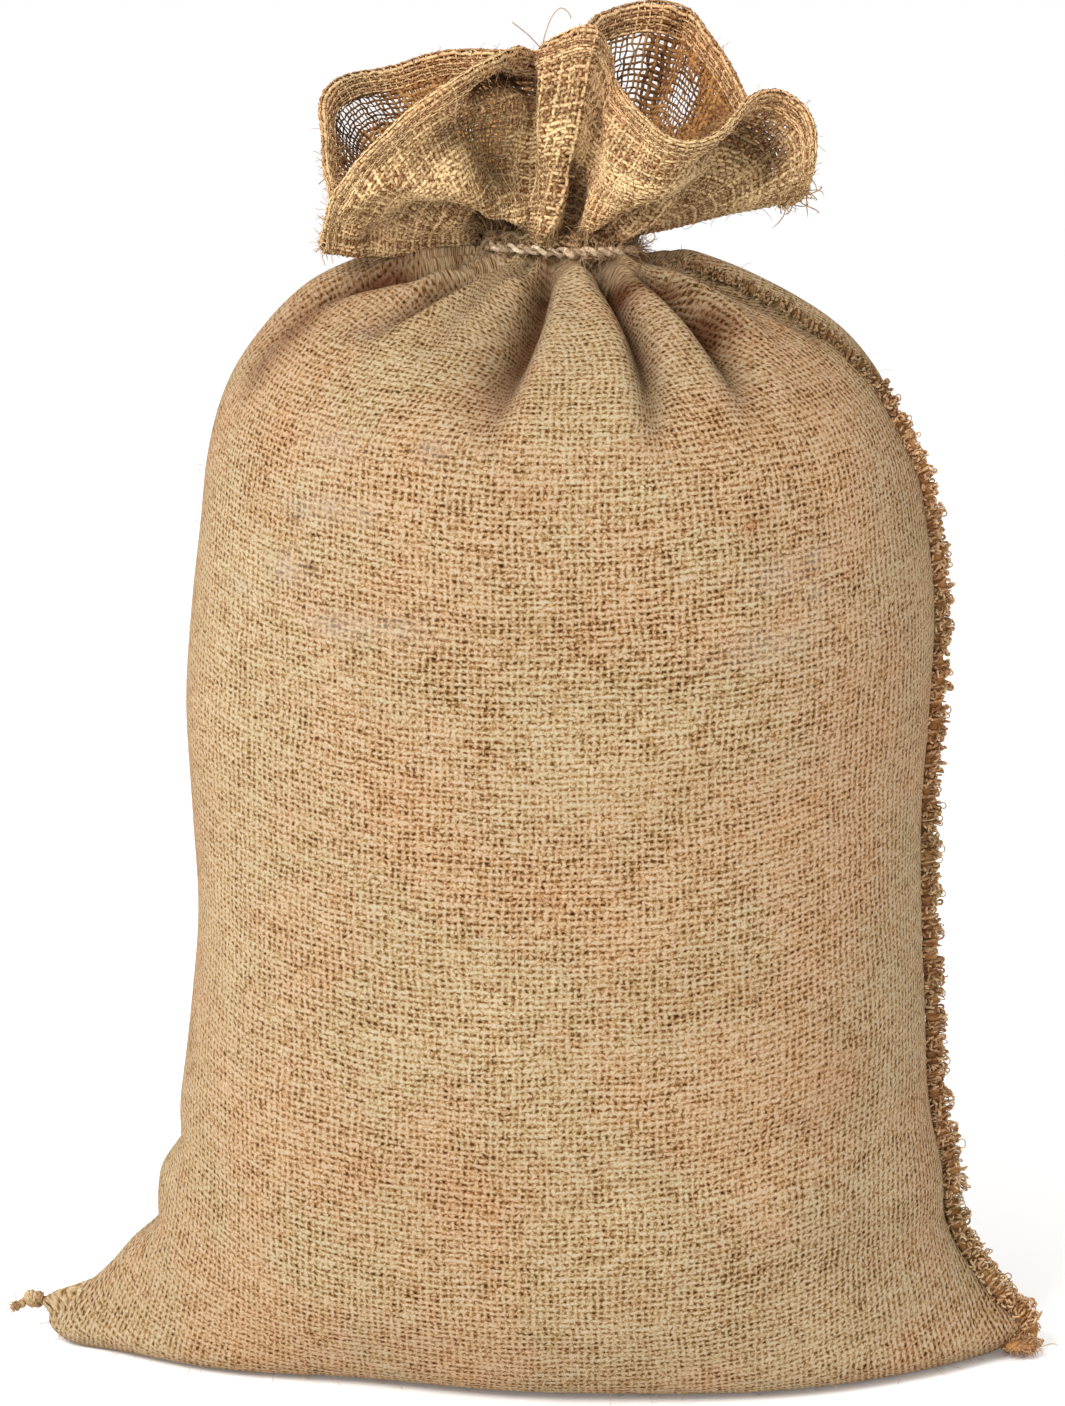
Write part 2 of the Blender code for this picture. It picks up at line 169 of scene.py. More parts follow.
# Furrows in the gathered shoulders: shares of the way round at the tie, halfway and at
# the end, where they start and end below the tie, how deep, how wide on the left and on
# the right flank, and the share of hidden cloth.
FURROWS = table(
    "tie middle end start reach depth left right cloth",
    (0.220, 0.070, 0.060, 0.016, 0.215, 0.0240, 0.020, 0.010, 0.9),
    (0.200, 0.163, 0.135, 0.020, 0.135, 0.0180, 0.009, 0.008, 0.8),
    (0.100, 0.112, 0.100, 0.005, 0.110, 0.0060, 0.010, 0.010, 0.5),
    (0.215, 0.200, 0.186, 0.000, 0.130, 0.0060, 0.014, 0.008, 0.6),
    (0.268, 0.243, 0.228, 0.000, 0.175, 0.0250, 0.022, 0.008, 1.5),
    (0.334, 0.311, 0.308, 0.000, 0.190, 0.0215, 0.009, 0.010, 1.6),
    (0.388, 0.362, 0.356, 0.020, 0.185, 0.0250, 0.010, 0.012, 1.3),
    (0.338, 0.330, 0.326, 0.018, 0.070, 0.0110, 0.006, 0.006, 0.2),
    (0.352, 0.392, 0.384, 0.000, 0.150, -0.0080, 0.009, 0.007, 0.2),
    (0.416, 0.412, 0.404, 0.005, 0.140, 0.0080, 0.007, 0.010, 0.6),
    (0.450, 0.436, 0.446, 0.005, 0.165, 0.0120, 0.009, 0.022, 1.0),
    (0.545, 0.560, 0.575, 0.005, 0.170, 0.0080, 0.014, 0.010, 1.0),
    (0.600, 0.612, 0.620, 0.000, 0.140, 0.0070, 0.010, 0.009, 0.8),
    (0.665, 0.672, 0.680, 0.000, 0.180, 0.0110, 0.012, 0.012, 1.2),
    (0.725, 0.720, 0.712, 0.000, 0.150, 0.0080, 0.009, 0.012, 1.0),
    (0.775, 0.778, 0.785, 0.000, 0.190, 0.0120, 0.014, 0.009, 1.2),
    (0.840, 0.836, 0.830, 0.000, 0.160, 0.0090, 0.012, 0.012, 1.0),
    (0.900, 0.905, 0.912, 0.000, 0.180, 0.0100, 0.010, 0.014, 1.0),
    (0.960, 0.965, 0.972, 0.010, 0.150, 0.0060, 0.012, 0.010, 0.8))

# How far the foot of the front draws in: share, half width and depth.
FOOT_DRAWN = ((0.195, 0.045, 0.024), (0.270, 0.055, 0.017))

# The plug that closes the neck's inside: how far in each ring lies, and how high.
PLUG = ((0.30, 0.001), (0.60, -0.001), (0.85, -0.004), (1.0, -0.006))

# Soft swells of the filling and slack of the cloth: place round, height, half sizes and
# how far they stand out.
SWELLS = table(
    "share height wide tall out",
    (0.190, 0.560, 0.050, 0.060, 0.0040),
    (0.330, 0.520, 0.040, 0.080, 0.0030),
    (0.250, 0.430, 0.110, 0.014, -0.0030),
    (0.235, 0.152, 0.030, 0.012, -0.0026),
    (0.300, 0.150, 0.040, 0.012, -0.0030),
    (0.365, 0.168, 0.040, 0.012, -0.0028),
    (0.180, 0.300, 0.060, 0.050, 0.0025),
    (0.320, 0.240, 0.060, 0.060, 0.0025),
    (0.120, 0.410, 0.040, 0.060, -0.0030),
    (0.400, 0.380, 0.040, 0.070, -0.0030),
    (0.250, 0.120, 0.080, 0.040, 0.0020),
    (0.410, 0.130, 0.030, 0.060, -0.0040),
    (0.090, 0.110, 0.030, 0.050, -0.0040),
    (0.700, 0.480, 0.060, 0.070, 0.0035),
    (0.820, 0.300, 0.060, 0.060, 0.0030),
    (0.640, 0.250, 0.050, 0.080, -0.0025),
    (0.880, 0.440, 0.040, 0.070, -0.0025),
    (0.000, 0.136, 0.030, 0.012, -0.0045),
    (1.000, 0.136, 0.030, 0.012, -0.0045),
    (0.000, 0.108, 0.040, 0.014, 0.0045),
    (1.000, 0.108, 0.040, 0.014, 0.0045),
    (0.000, 0.078, 0.040, 0.010, -0.0070),
    (1.000, 0.078, 0.040, 0.010, -0.0070))

# Marks on the cloth, at places in its own metres, with half sizes and strength: pale where the fill shows
# through, foxed by damp (two tall marks on the far sides are painted shade instead), open or closed in the
# weave, and painted shade beside the shoulders' folds.
MARKS = {
    "pale": table(
        "round up wide tall amount",
        (0.243, 0.674, 0.010, 0.006, 0.43),
        (0.182, 0.631, 0.012, 0.007, 0.43),
        (0.205, 0.630, 0.008, 0.006, 0.35),
        (0.150, 0.589, 0.016, 0.009, 0.47),
        (0.187, 0.563, 0.018, 0.007, 0.47),
        (0.225, 0.569, 0.020, 0.008, 0.31),
        (0.180, 0.667, 0.022, 0.010, 0.27),
        (0.480, 0.602, 0.006, 0.005, 0.43),
        (0.480, 0.579, 0.006, 0.005, 0.43),
        (0.455, 0.594, 0.020, 0.010, 0.27),
        (0.447, 0.555, 0.026, 0.010, 0.31),
        (0.139, 0.743, 0.012, 0.010, 0.26),
        (0.158, 0.626, 0.014, 0.007, 0.31),
        (0.113, 0.569, 0.014, 0.007, 0.31)),
    "foxed_and_shaded": table(
        "round up wide tall amount",
        (0.301, 0.650, 0.020, 0.012, 0.27),
        (0.125, 0.613, 0.020, 0.012, 0.23),
        (0.442, 0.627, 0.014, 0.010, 0.36),
        (0.325, 0.570, 0.045, 0.014, 0.23),
        (0.395, 0.482, 0.060, 0.026, 0.18),
        (0.410, 0.355, 0.055, 0.022, 0.20),
        (0.505, 0.287, 0.040, 0.035, 0.20),
        (0.250, 0.239, 0.060, 0.022, 0.18),
        # Painted shade: the next two tall marks darken the far right and far left sides.
        (0.575, 0.420, 0.070, 0.420, 0.06),
        (0.030, 0.400, 0.060, 0.260, 0.35),
        (0.060, 0.739, 0.060, 0.045, 0.20),
        (0.570, 0.737, 0.060, 0.050, 0.20),
        (0.437, 0.626, 0.003, 0.003, 0.80)),
    "open": table(
        "round up wide tall amount",
        (0.256, 0.534, 0.034, 0.012, 0.36),
        (0.385, 0.538, 0.034, 0.012, 0.36),
        (0.380, 0.574, 0.080, 0.030, 0.14),
        (0.300, 0.417, 0.060, 0.020, 0.09),
        (0.430, 0.670, 0.030, 0.040, 0.16),
        (0.139, 0.743, 0.014, 0.012, 0.34)),
    "closed": table(
        "round up wide tall amount",
        (0.040, 0.400, 0.080, 0.300, 0.32),
        (0.560, 0.420, 0.080, 0.300, 0.16),
        (0.330, 0.477, 0.070, 0.022, 0.18)),
    # Painted shade beside the deep folds of the shoulders, on walls that lie in shade.
    "painted_shade": table(
        "round up wide tall amount",
        (0.050, 0.790, 0.016, 0.030, 0.65),
        (0.075, 0.760, 0.020, 0.020, 0.55),
        (0.085, 0.725, 0.014, 0.022, 0.55),
        (0.078, 0.690, 0.012, 0.020, 0.45),
        (0.144, 0.820, 0.014, 0.020, 0.60),
        (0.100, 0.800, 0.025, 0.012, 0.60),
        (0.510, 0.770, 0.013, 0.020, 0.65),
        (0.470, 0.815, 0.018, 0.014, 0.70),
        (0.535, 0.800, 0.009, 0.035, 0.55),
        (0.524, 0.760, 0.008, 0.020, 0.45)),
}

# The mouth's rim, from its left tip along the front to the right tip, and back.
RIM_FRONT = table(
    "x y height",
    (-0.130, -0.032, 0.691),
    (-0.121, -0.059, 0.720),
    (-0.091, -0.080, 0.756),
    (-0.059, -0.085, 0.784),
    (-0.032, -0.071, 0.799),
    (-0.013, -0.045, 0.806),
    (-0.002, -0.026, 0.802),
    (0.012, -0.044, 0.813),
    (0.029, -0.057, 0.820),
    (0.034, -0.042, 0.812),
    (0.042, -0.033, 0.788),
    (0.059, -0.056, 0.768),
    (0.081, -0.077, 0.756),
    (0.105, -0.069, 0.758),
    (0.124, -0.041, 0.776),
    (0.140, -0.021, 0.780),
    (0.157, -0.020, 0.766),
    (0.160, -0.023, 0.742),
    (0.150, -0.008, 0.714))

RIM_BACK = table(
    "x y height",
    (0.136, 0.016, 0.720),
    (0.126, 0.039, 0.750),
    (0.112, 0.054, 0.782),
    (0.096, 0.071, 0.806),
    (0.079, 0.085, 0.823),
    (0.053, 0.088, 0.826),
    (0.026, 0.071, 0.818),
    (0.010, 0.041, 0.805),
    (-0.005, 0.034, 0.796),
    (-0.033, 0.055, 0.798),
    (-0.069, 0.074, 0.796),
    (-0.100, 0.075, 0.786),
    (-0.125, 0.057, 0.783),
    (-0.136, 0.030, 0.772),
    (-0.135, 0.006, 0.742),
    (-0.129, -0.012, 0.713))

# Where the mouth's cloth is thin enough to see through (less), or closer than elsewhere, and how much painted
# shade darkens it there (dark).
THIN_PLACES = table(
    "share rise wide tall less dark",
    (0.884, 0.86, 0.030, 0.12, 0.50, 0.70),
    (0.925, 0.80, 0.022, 0.12, 0.30, 0.75),
    (0.684, 0.74, 0.023, 0.18, 0.58, 0.50),
    (0.690, 0.90, 0.026, 0.06, 0.20, -0.10),
    (0.632, 0.72, 0.015, 0.13, 0.55, 0.45),
    (0.657, 0.76, 0.006, 0.30, -0.20, 0.20),
    (0.590, 0.80, 0.024, 0.30, -0.12, 0.10),
    (0.152, 0.60, 0.028, 0.24, 0.44, 0.35),
    (0.172, 0.89, 0.026, 0.05, 0.00, 0.70),
    (0.070, 0.45, 0.050, 0.40, -0.12, 0.00),
    (0.228, 0.45, 0.014, 0.30, 0.14, 0.00),
    (0.308, 0.62, 0.030, 0.34, -0.14, 0.00),
    (0.395, 0.50, 0.030, 0.30, -0.08, 0.20),
    (0.440, 0.80, 0.035, 0.24, -0.20, 0.10))

# Folds and hollows of the mouth's cloth: half width, how far they stand out, and the
# line they run along, as shares round and rises.
MOUTH_FOLDS = table(
    "wide out line",
    (0.008, -0.016, ((0.150, 0.88), (0.175, 0.90), (0.196, 0.88))),
    (0.017, -0.011, ((0.128, 0.74), (0.150, 0.66), (0.172, 0.44))),
    (0.011, 0.008, ((0.045, 0.90), (0.076, 0.74), (0.102, 0.52), (0.150, 0.28), (0.200, 0.14))),
    (0.012, -0.008, ((0.020, 0.66), (0.060, 0.46), (0.105, 0.26))),
    (0.010, -0.020, ((0.075, 0.13), (0.168, 0.10))),
    (0.010, 0.007, ((0.000, 0.14), (0.055, 0.12))),
    (0.010, 0.007, ((0.945, 0.12), (1.000, 0.14))),
    (0.009, 0.006, ((0.212, 0.95), (0.222, 0.68), (0.238, 0.40), (0.262, 0.08))),
    (0.008, -0.016, ((0.264, 0.46), (0.278, 0.30), (0.290, 0.12))),
    (0.015, 0.007, ((0.275, 0.96), (0.302, 0.78), (0.324, 0.60), (0.318, 0.36), (0.308, 0.12))),
    (0.007, -0.010, ((0.362, 0.44), (0.350, 0.12))),
    (0.007, 0.006, ((0.392, 0.44), (0.372, 0.10))),
    (0.016, -0.012, ((0.390, 0.80), (0.415, 0.76), (0.440, 0.72))),
    (0.006, 0.009, ((0.652, 0.95), (0.663, 0.45))),
    (0.012, -0.008, ((0.700, 0.60), (0.715, 0.20))),
    (0.014, 0.008, ((0.760, 0.80), (0.765, 0.30))),
    (0.010, -0.008, ((0.820, 0.50), (0.815, 0.15))),
    (0.010, 0.008, ((0.905, 0.50), (0.890, 0.15))))

# The sewn edge, by section and share of the way round, and how wide it stands.
SEAM_ROUTE = table(
    "place share wide",
    (0.6, 0.500, 0.0125),
    (3.0, 0.500, 0.0118),
    (11.0, 0.500, 0.0096),
    (12.5, 0.498, 0.0090),
    (13.5, 0.490, 0.0085),
    (14.5, 0.478, 0.0080),
    (15.5, 0.470, 0.0075),
    (16.0, 0.460, 0.0070),
    (16.5, 0.452, 0.0066),
    (17.5, 0.447, 0.0062),
    (18.5, 0.447, 0.0058),
    (19.5, 0.450, 0.0052),
    (20.5, 0.462, 0.0046),
    (21.5, 0.478, 0.0036),
    (23.5, 0.488, 0.0020))

# The twine: shares of the way round, how high it rides, and where it laps over itself.
TWINE_ROUTE = table(
    "share rise lap",
    (0.375, -0.0010, 0),
    (0.320, 0.0010, 0),
    (0.250, 0.0030, 0),
    (0.160, 0.0040, 0),
    (0.060, 0.0040, 0),
    (-0.060, 0.0025, 0),
    (-0.200, 0.0015, 0),
    (-0.350, 0.0010, 0),
    (-0.480, 0.0010, 0),
    (-0.560, 0.0015, 0.3),
    (-0.630, 0.0020, 1),
    (-0.690, 0.0030, 1))

# The thread's end, outward from the left corner, and the knots on it: how far along it,
# half turns and half width.
TAIL = table(
    "out y height",
    (-0.0035, 0.0005, 0.0183),
    (0.0000, 0.0000, 0.0190),
    (0.0040, -0.0005, 0.0195),
    (0.0080, -0.0010, 0.0203),
    (0.0120, -0.0015, 0.0208),
    (0.0160, -0.0015, 0.0192),
    (0.0190, -0.0010, 0.0168),
    (0.0220, 0.0000, 0.0154),
    (0.0250, 0.0010, 0.0146))
TAIL_KNOTS = ((0.0062, 1.4, 0.0020), (0.0118, 2.6, 0.0044), (0.0162, 2.3, 0.0048))

# The end of the sewn edge at the right corner, curled forward: places and half widths.
TONGUE = table(
    "x y height wide",
    (0.282, 0.000, 0.0085, 0.0010),
    (0.287, -0.003, 0.0085, 0.0070),
    (0.293, -0.007, 0.0080, 0.0105),
    (0.297, -0.011, 0.0075, 0.0110),
    (0.300, -0.014, 0.0070, 0.0090),
    (0.301, -0.016, 0.0060, 0.0010))

# Loose threads at the rim: over the middle, below the left tip, and a loop by the neck.
STRAYS = (
    ((-0.001, -0.030, 0.806), (0.004, -0.034, 0.822), (0.010, -0.035, 0.830), (0.015, -0.035, 0.828),
     (0.017, -0.035, 0.824)),
    ((-0.001, -0.030, 0.806), (-0.008, -0.034, 0.814), (-0.018, -0.035, 0.822)),
    ((-0.130, -0.030, 0.692), (-0.132, -0.031, 0.684), (-0.130, -0.031, 0.677)),
    ((-0.125, -0.034, 0.692), (-0.126, -0.035, 0.685), (-0.125, -0.035, 0.679)),
    ((0.064, -0.035, 0.702), (0.061, -0.036, 0.696), (0.064, -0.036, 0.693), (0.067, -0.036, 0.696),
     (0.065, -0.035, 0.700)),
)

dice = np.random.default_rng(7)

# ---------------------------------------------------------------- camera
def in_scene(name, data):
    """A new object with the data, linked into the scene."""
    thing = bpy.data.objects.new(name, data)
    bpy.context.scene.collection.objects.link(thing)
    return thing


def facing(place, aim):
    """The turn that points a camera or a lamp at place toward aim."""
    return (Vector(aim) - Vector(place)).to_track_quat("-Z", "Y").to_euler()


def set_camera():
    """A long lens a little above the sack, four degrees to its right."""
    turn = radians(CAMERA_TURN)
    aside = CAMERA_ASIDE * Vector((cos(turn), sin(turn), 0))
    eye = Vector((CAMERA_FAR * sin(turn), -CAMERA_FAR * cos(turn), CAMERA_HEIGHT)) - aside
    lens = bpy.data.cameras.new("studio camera")
    lens.sensor_width = SENSOR_WIDTH
    lens.lens = FOCAL_LENGTH
    camera = in_scene("studio camera", lens)
    camera.location = eye
    camera.rotation_euler = facing(eye, Vector((0, 0, CAMERA_AIM)) - aside)
    bpy.context.scene.camera = camera


# ---------------------------------------------------------------- curves and grids
def spline(rows, places):
    """Points at fractional places along the smooth curve through the rows."""
    rows = np.asarray(rows, float)
    last = len(rows) - 1
    span = np.clip(np.floor(places).astype(int), 0, last - 1)
    t = (places - span)[..., None]
    before, start = rows[np.maximum(span - 1, 0)], rows[span]
    end, after = rows[span + 1], rows[np.minimum(span + 2, last)]
    return 0.5 * (2 * start + (end - before) * t
                  + (2 * before - 5 * start + 4 * end - after) * t ** 2
                  + (3 * start - before - 3 * end + after) * t ** 3)


def smooth_run(rows, count):
    """The given number of points along the smooth curve through the rows."""
    return spline(rows, np.linspace(0, len(rows) - 1, count))


def reach_along(points, axis=0):
    """Length from the first point to each point, along an axis."""
    steps = np.linalg.norm(np.diff(points, axis=axis), axis=-1)
    start = np.zeros_like(np.take(steps, [0], axis=axis))
    return np.concatenate([start, np.cumsum(steps, axis=axis)], axis=axis)


def picked(at, reach, points):
    """Points at lengths along a run whose own points are at the lengths in reach."""
    return np.stack([np.interp(at, reach, points[:, k]) for k in range(3)], axis=1)


def unit(vectors):
    return vectors / np.maximum(np.linalg.norm(vectors, axis=-1, keepdims=True), 1e-12)


def fade(value, start, end):
    """1 at or before start, falling smoothly to 0 at end."""
    t = np.clip((value - start) / (end - start), 0, 1)
    return 1 - t * t * (3 - 2 * t)


def hump(value, middle, half, power=2):
    """1 at its middle, falling smoothly to about a third at its half width and on to 0."""
    return np.exp(-np.abs((value - middle) / half) ** power)


def wave(shares, times, shift=0.0):
    """A sine that goes round a number of times."""
    return np.sin(2 * pi * times * shares + shift)


def grid_normals(points, closed=False):
    """Outward directions of a grid with rows upward and columns round."""
    if closed:
        around = np.roll(points, -1, axis=1) - np.roll(points, 1, axis=1)
    else:
        around = np.gradient(points, axis=1)
    return unit(np.cross(around, np.gradient(points, axis=0)))


def round_normals(cloth):
    """Outward directions of a closed round whose last column repeats the first."""
    normals = grid_normals(cloth[:, :-1], closed=True)
    return np.concatenate([normals, normals[:, :1]], axis=1)


def mesh_from(build, name):
    """A mesh of what has been built."""
    mesh = bpy.data.meshes.new(name)
    build.to_mesh(mesh)
    build.free()
    return mesh


def finished(name, mesh, material):
    """A smooth piece from a mesh, riding on the one body."""
    mesh.shade_smooth()
    mesh.materials.append(material)
    piece = in_scene(name, mesh)
    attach(piece, "root")
    return piece


def shaped_grid(name, points, marks, material, cut=None, layers=()):
    """A piece made from a flat grid, with its corners moved to points (rows, columns).
    marks are the matching places on the cloth, and layers are more pairs of values on it,
    by name. cut parts it into strips of so many columns."""
    rows, columns = points.shape[:2]
    points[..., 2] = np.maximum(points[..., 2], 0)
    build = bmesh.new()
    bmesh.ops.create_grid(build, x_segments=columns - 1, y_segments=rows - 1, size=1.0)
    if cut:
        build.edges.ensure_lookup_table()
        half = 1.0 / (columns - 1)
        between = []
        for edge in build.edges:
            first, last = sorted(vert.co.x for vert in edge.verts)
            column = round((first + 1) / 2 * (columns - 1))
            if last - first > half and column % cut == cut - 1:
                between.append(edge)
        bmesh.ops.delete(build, geom=between, context="EDGES")
    mesh = mesh_from(build, name)
    flat = np.empty(len(mesh.vertices) * 3, np.float32)
    mesh.vertices.foreach_get("co", flat)
    column = np.rint((flat[0::3] + 1) / 2 * (columns - 1)).astype(int)
    row = np.rint((flat[1::3] + 1) / 2 * (rows - 1)).astype(int)
    mesh.vertices.foreach_set("co", points[row, column].astype(np.float32).ravel())
    corner = np.empty(len(mesh.loops), np.int32)
    mesh.loops.foreach_get("vertex_index", corner)
    for layer_name, values in (("cloth", marks), *layers):
        layer = mesh.uv_layers.new(name=layer_name)
        layer.data.foreach_set("uv", values[row[corner], column[corner]].astype(np.float32).ravel())
    build = bmesh.new()
    build.from_mesh(mesh)
    bmesh.ops.remove_doubles(build, verts=build.verts, dist=2e-7)
    bmesh.ops.recalc_face_normals(build, faces=build.faces)
    build.to_mesh(mesh)
    build.free()
    return finished(name, mesh, material)


def strands(name, paths, girths, material, sides=4, flatten=1.0, up=None, first_mark=0, darkening=0.0):
    """Yarns along paths (strand, point, xyz) with half widths (strand, point). up is the
    direction in which they are flattened. A half width of 0 at an end closes it there.
    The last argument says how dark each point is (strand, point): painted shade on most pieces, and dust on
    the corner thread's end."""
    count, length = paths.shape[:2]
    along = unit(np.gradient(paths, axis=1))
    if up is None:
        mean = unit(paths[:, -1] - paths[:, 0] + 1e-9)
        up = np.eye(3)[np.argmin(np.abs(mean), axis=1)][:, None]
    across = unit(np.cross(along, np.broadcast_to(up, paths.shape)))
    above = np.cross(across, along)
    turn = 2 * pi * (np.arange(sides + 1) % sides) / sides
    girth = girths[..., None, None]
    ring = (paths[:, :, None] + girth * np.cos(turn)[None, None, :, None] * across[:, :, None]
            + flatten * girth * np.sin(turn)[None, None, :, None] * above[:, :, None])
    marks = np.empty((length, count, sides + 1, 2))
    marks[..., 0] = (first_mark + np.arange(count))[None, :, None] + 0.9 * np.arange(sides + 1) / sides
    marks[..., 1] = reach_along(paths, axis=1).T[:, :, None]
    wear_and_shade = np.zeros_like(marks)
    wear_and_shade[..., 0] = np.broadcast_to(darkening, (count, length)).T[:, :, None]
    flat = (length, count * (sides + 1), 2)
    return shaped_grid(name, ring.transpose(1, 0, 2, 3).reshape(*flat[:2], 3), marks.reshape(flat),
                       material, cut=sides + 1, layers=(("wear_and_shade", wear_and_shade.reshape(flat)),))


def join(name, pieces):
    """One piece from several that share a finish."""
    build = bmesh.new()
    for piece in pieces:
        build.from_mesh(piece.data)
    mesh = mesh_from(build, name)
    material = pieces[0].data.materials[0]
    for piece in pieces:
        bpy.data.objects.remove(piece, do_unlink=True)
    return finished(name, mesh, material)


# ---------------------------------------------------------------- materials
def linear(code):
    """Linear colour of an sRGB hex value."""
    parts = [int(code[start:start + 2], 16) / 255 for start in (1, 3, 5)]
    return [part / 12.92 if part <= 0.04045 else ((part + 0.055) / 1.055) ** 2.4
            for part in parts] + [1.0]


def add(tree, kind, links=(), operation=None, **settings):
    """Adds a node, sets its settings, and links or sets its sockets, which are given by
    name or in their order. A node given for a socket stands for its first output."""
    node = tree.nodes.new("ShaderNode" + kind)
    if operation:
        node.operation = operation
    for name, value in settings.items():
        setattr(node, name, value)
    for socket, source in links.items() if isinstance(links, dict) else enumerate(links):
        if isinstance(source, bpy.types.Node):
            source = source.outputs[0]
        if isinstance(source, bpy.types.NodeSocket):
            tree.links.new(source, node.inputs[socket])
        else:
            node.inputs[socket].default_value = source
    return node


def new_finish(name, roughness, sheen=0.0):
    """A material with its shader, ready for its pattern."""
    material = bpy.data.materials.new(name)
    material.use_nodes = True
    tree = material.node_tree
    shader = tree.nodes["Principled BSDF"]
    for socket, value in (("Roughness", roughness), ("Specular IOR Level", 0.10), ("Sheen Weight", sheen),
                          ("Sheen Roughness", 0.6), ("Sheen Tint", linear("#e9cfa4"))):
        shader.inputs[socket].default_value = value
    return material, tree, shader


def dress(tree, shader, colour, layers, height, deep, strength):
    """Puts layers (share, colour, blend) over a colour, and gives the shader the result
    and its relief."""
    for share, layer, blend in layers:
        colour = add(tree, "Mix", {0: share, 6: colour, 7: layer}, data_type="RGBA",
                     blend_type=blend).outputs[2]
    tree.links.new(colour, shader.inputs["Base Color"])
    raised = add(tree, "Bump", {"Height": height, "Distance": deep, "Strength": strength})
    tree.links.new(raised.outputs[0], shader.inputs["Normal"])


def set_ramp(node, stops):
    """Puts the stops, of a place and a colour, on a colour ramp."""
    points = node.color_ramp.elements
    while len(points) < len(stops):
        points.new(0.5)
    for point, (place, code) in zip(points, stops):
        point.position = place
        point.color = linear(code)
    return node


def old_jute_tint(tree):
    """Colour that drifts over the cloth: golden, reddish and greyish jute, in hands' breadths."""
    place = add(tree, "TexCoord").outputs["Object"]
    drift = add(tree, "TexNoise", {"Vector": place, "Scale": 8.0, "Detail": 5.0, "Roughness": 0.65})
    return set_ramp(add(tree, "ValToRGB", (drift,)), TINTS).outputs["Color"]


# Slow wandering of the yarns over hands' breadths, and by a fraction of their spacing
# from one crossing to the next: noise scale in crossings, its detail and its reach.
WANDERS = ((0.045, 2.0, 2.4), (0.30, 2.0, 0.80), (1.5, 1.0, 0.46))
# The flank where the warps stand higher, in metres round: rising and falling again.
FLANK = ((0.46, 0.54), (0.76, 0.68))
# The warps and the wefts: axis of their numbers and axis along them, three shifts that
# set the two apart, least half width and height in spacings, the part of their width
# that is their own, slubs to a spacing and how their height changes on the flank.
YARNS = table(
    "axis other shift seed offset thin high own slubs change",
    (0, 1, 0.0, 0.0, 0.0, 0.095, 0.27, 0.09, 0.6, 0.14),
    (1, 0, 1.0, 311.7, 40.0, 0.080, 0.345, 0.14, 0.26, -0.16))
YARN_APART = 7.31          # keeps one yarn's slubs from its neighbour's
SLUB_WIDE, SLUB_HIGH = 0.40, 0.9
RIDGE_POWER, RIDGE_EDGE = 2.6, 0.42    # a yarn's roundness, and its height at its edge
BOB_HIGH = 0.13
PATCHES, CHANCE = 0.6, 0.50            # what hands' breadths and chance do to a gap
SLIPPED = 0.62             # how open the weave is where the weft has slipped
FLUFF, FLUFF_LEVEL = 2.70, 1.335


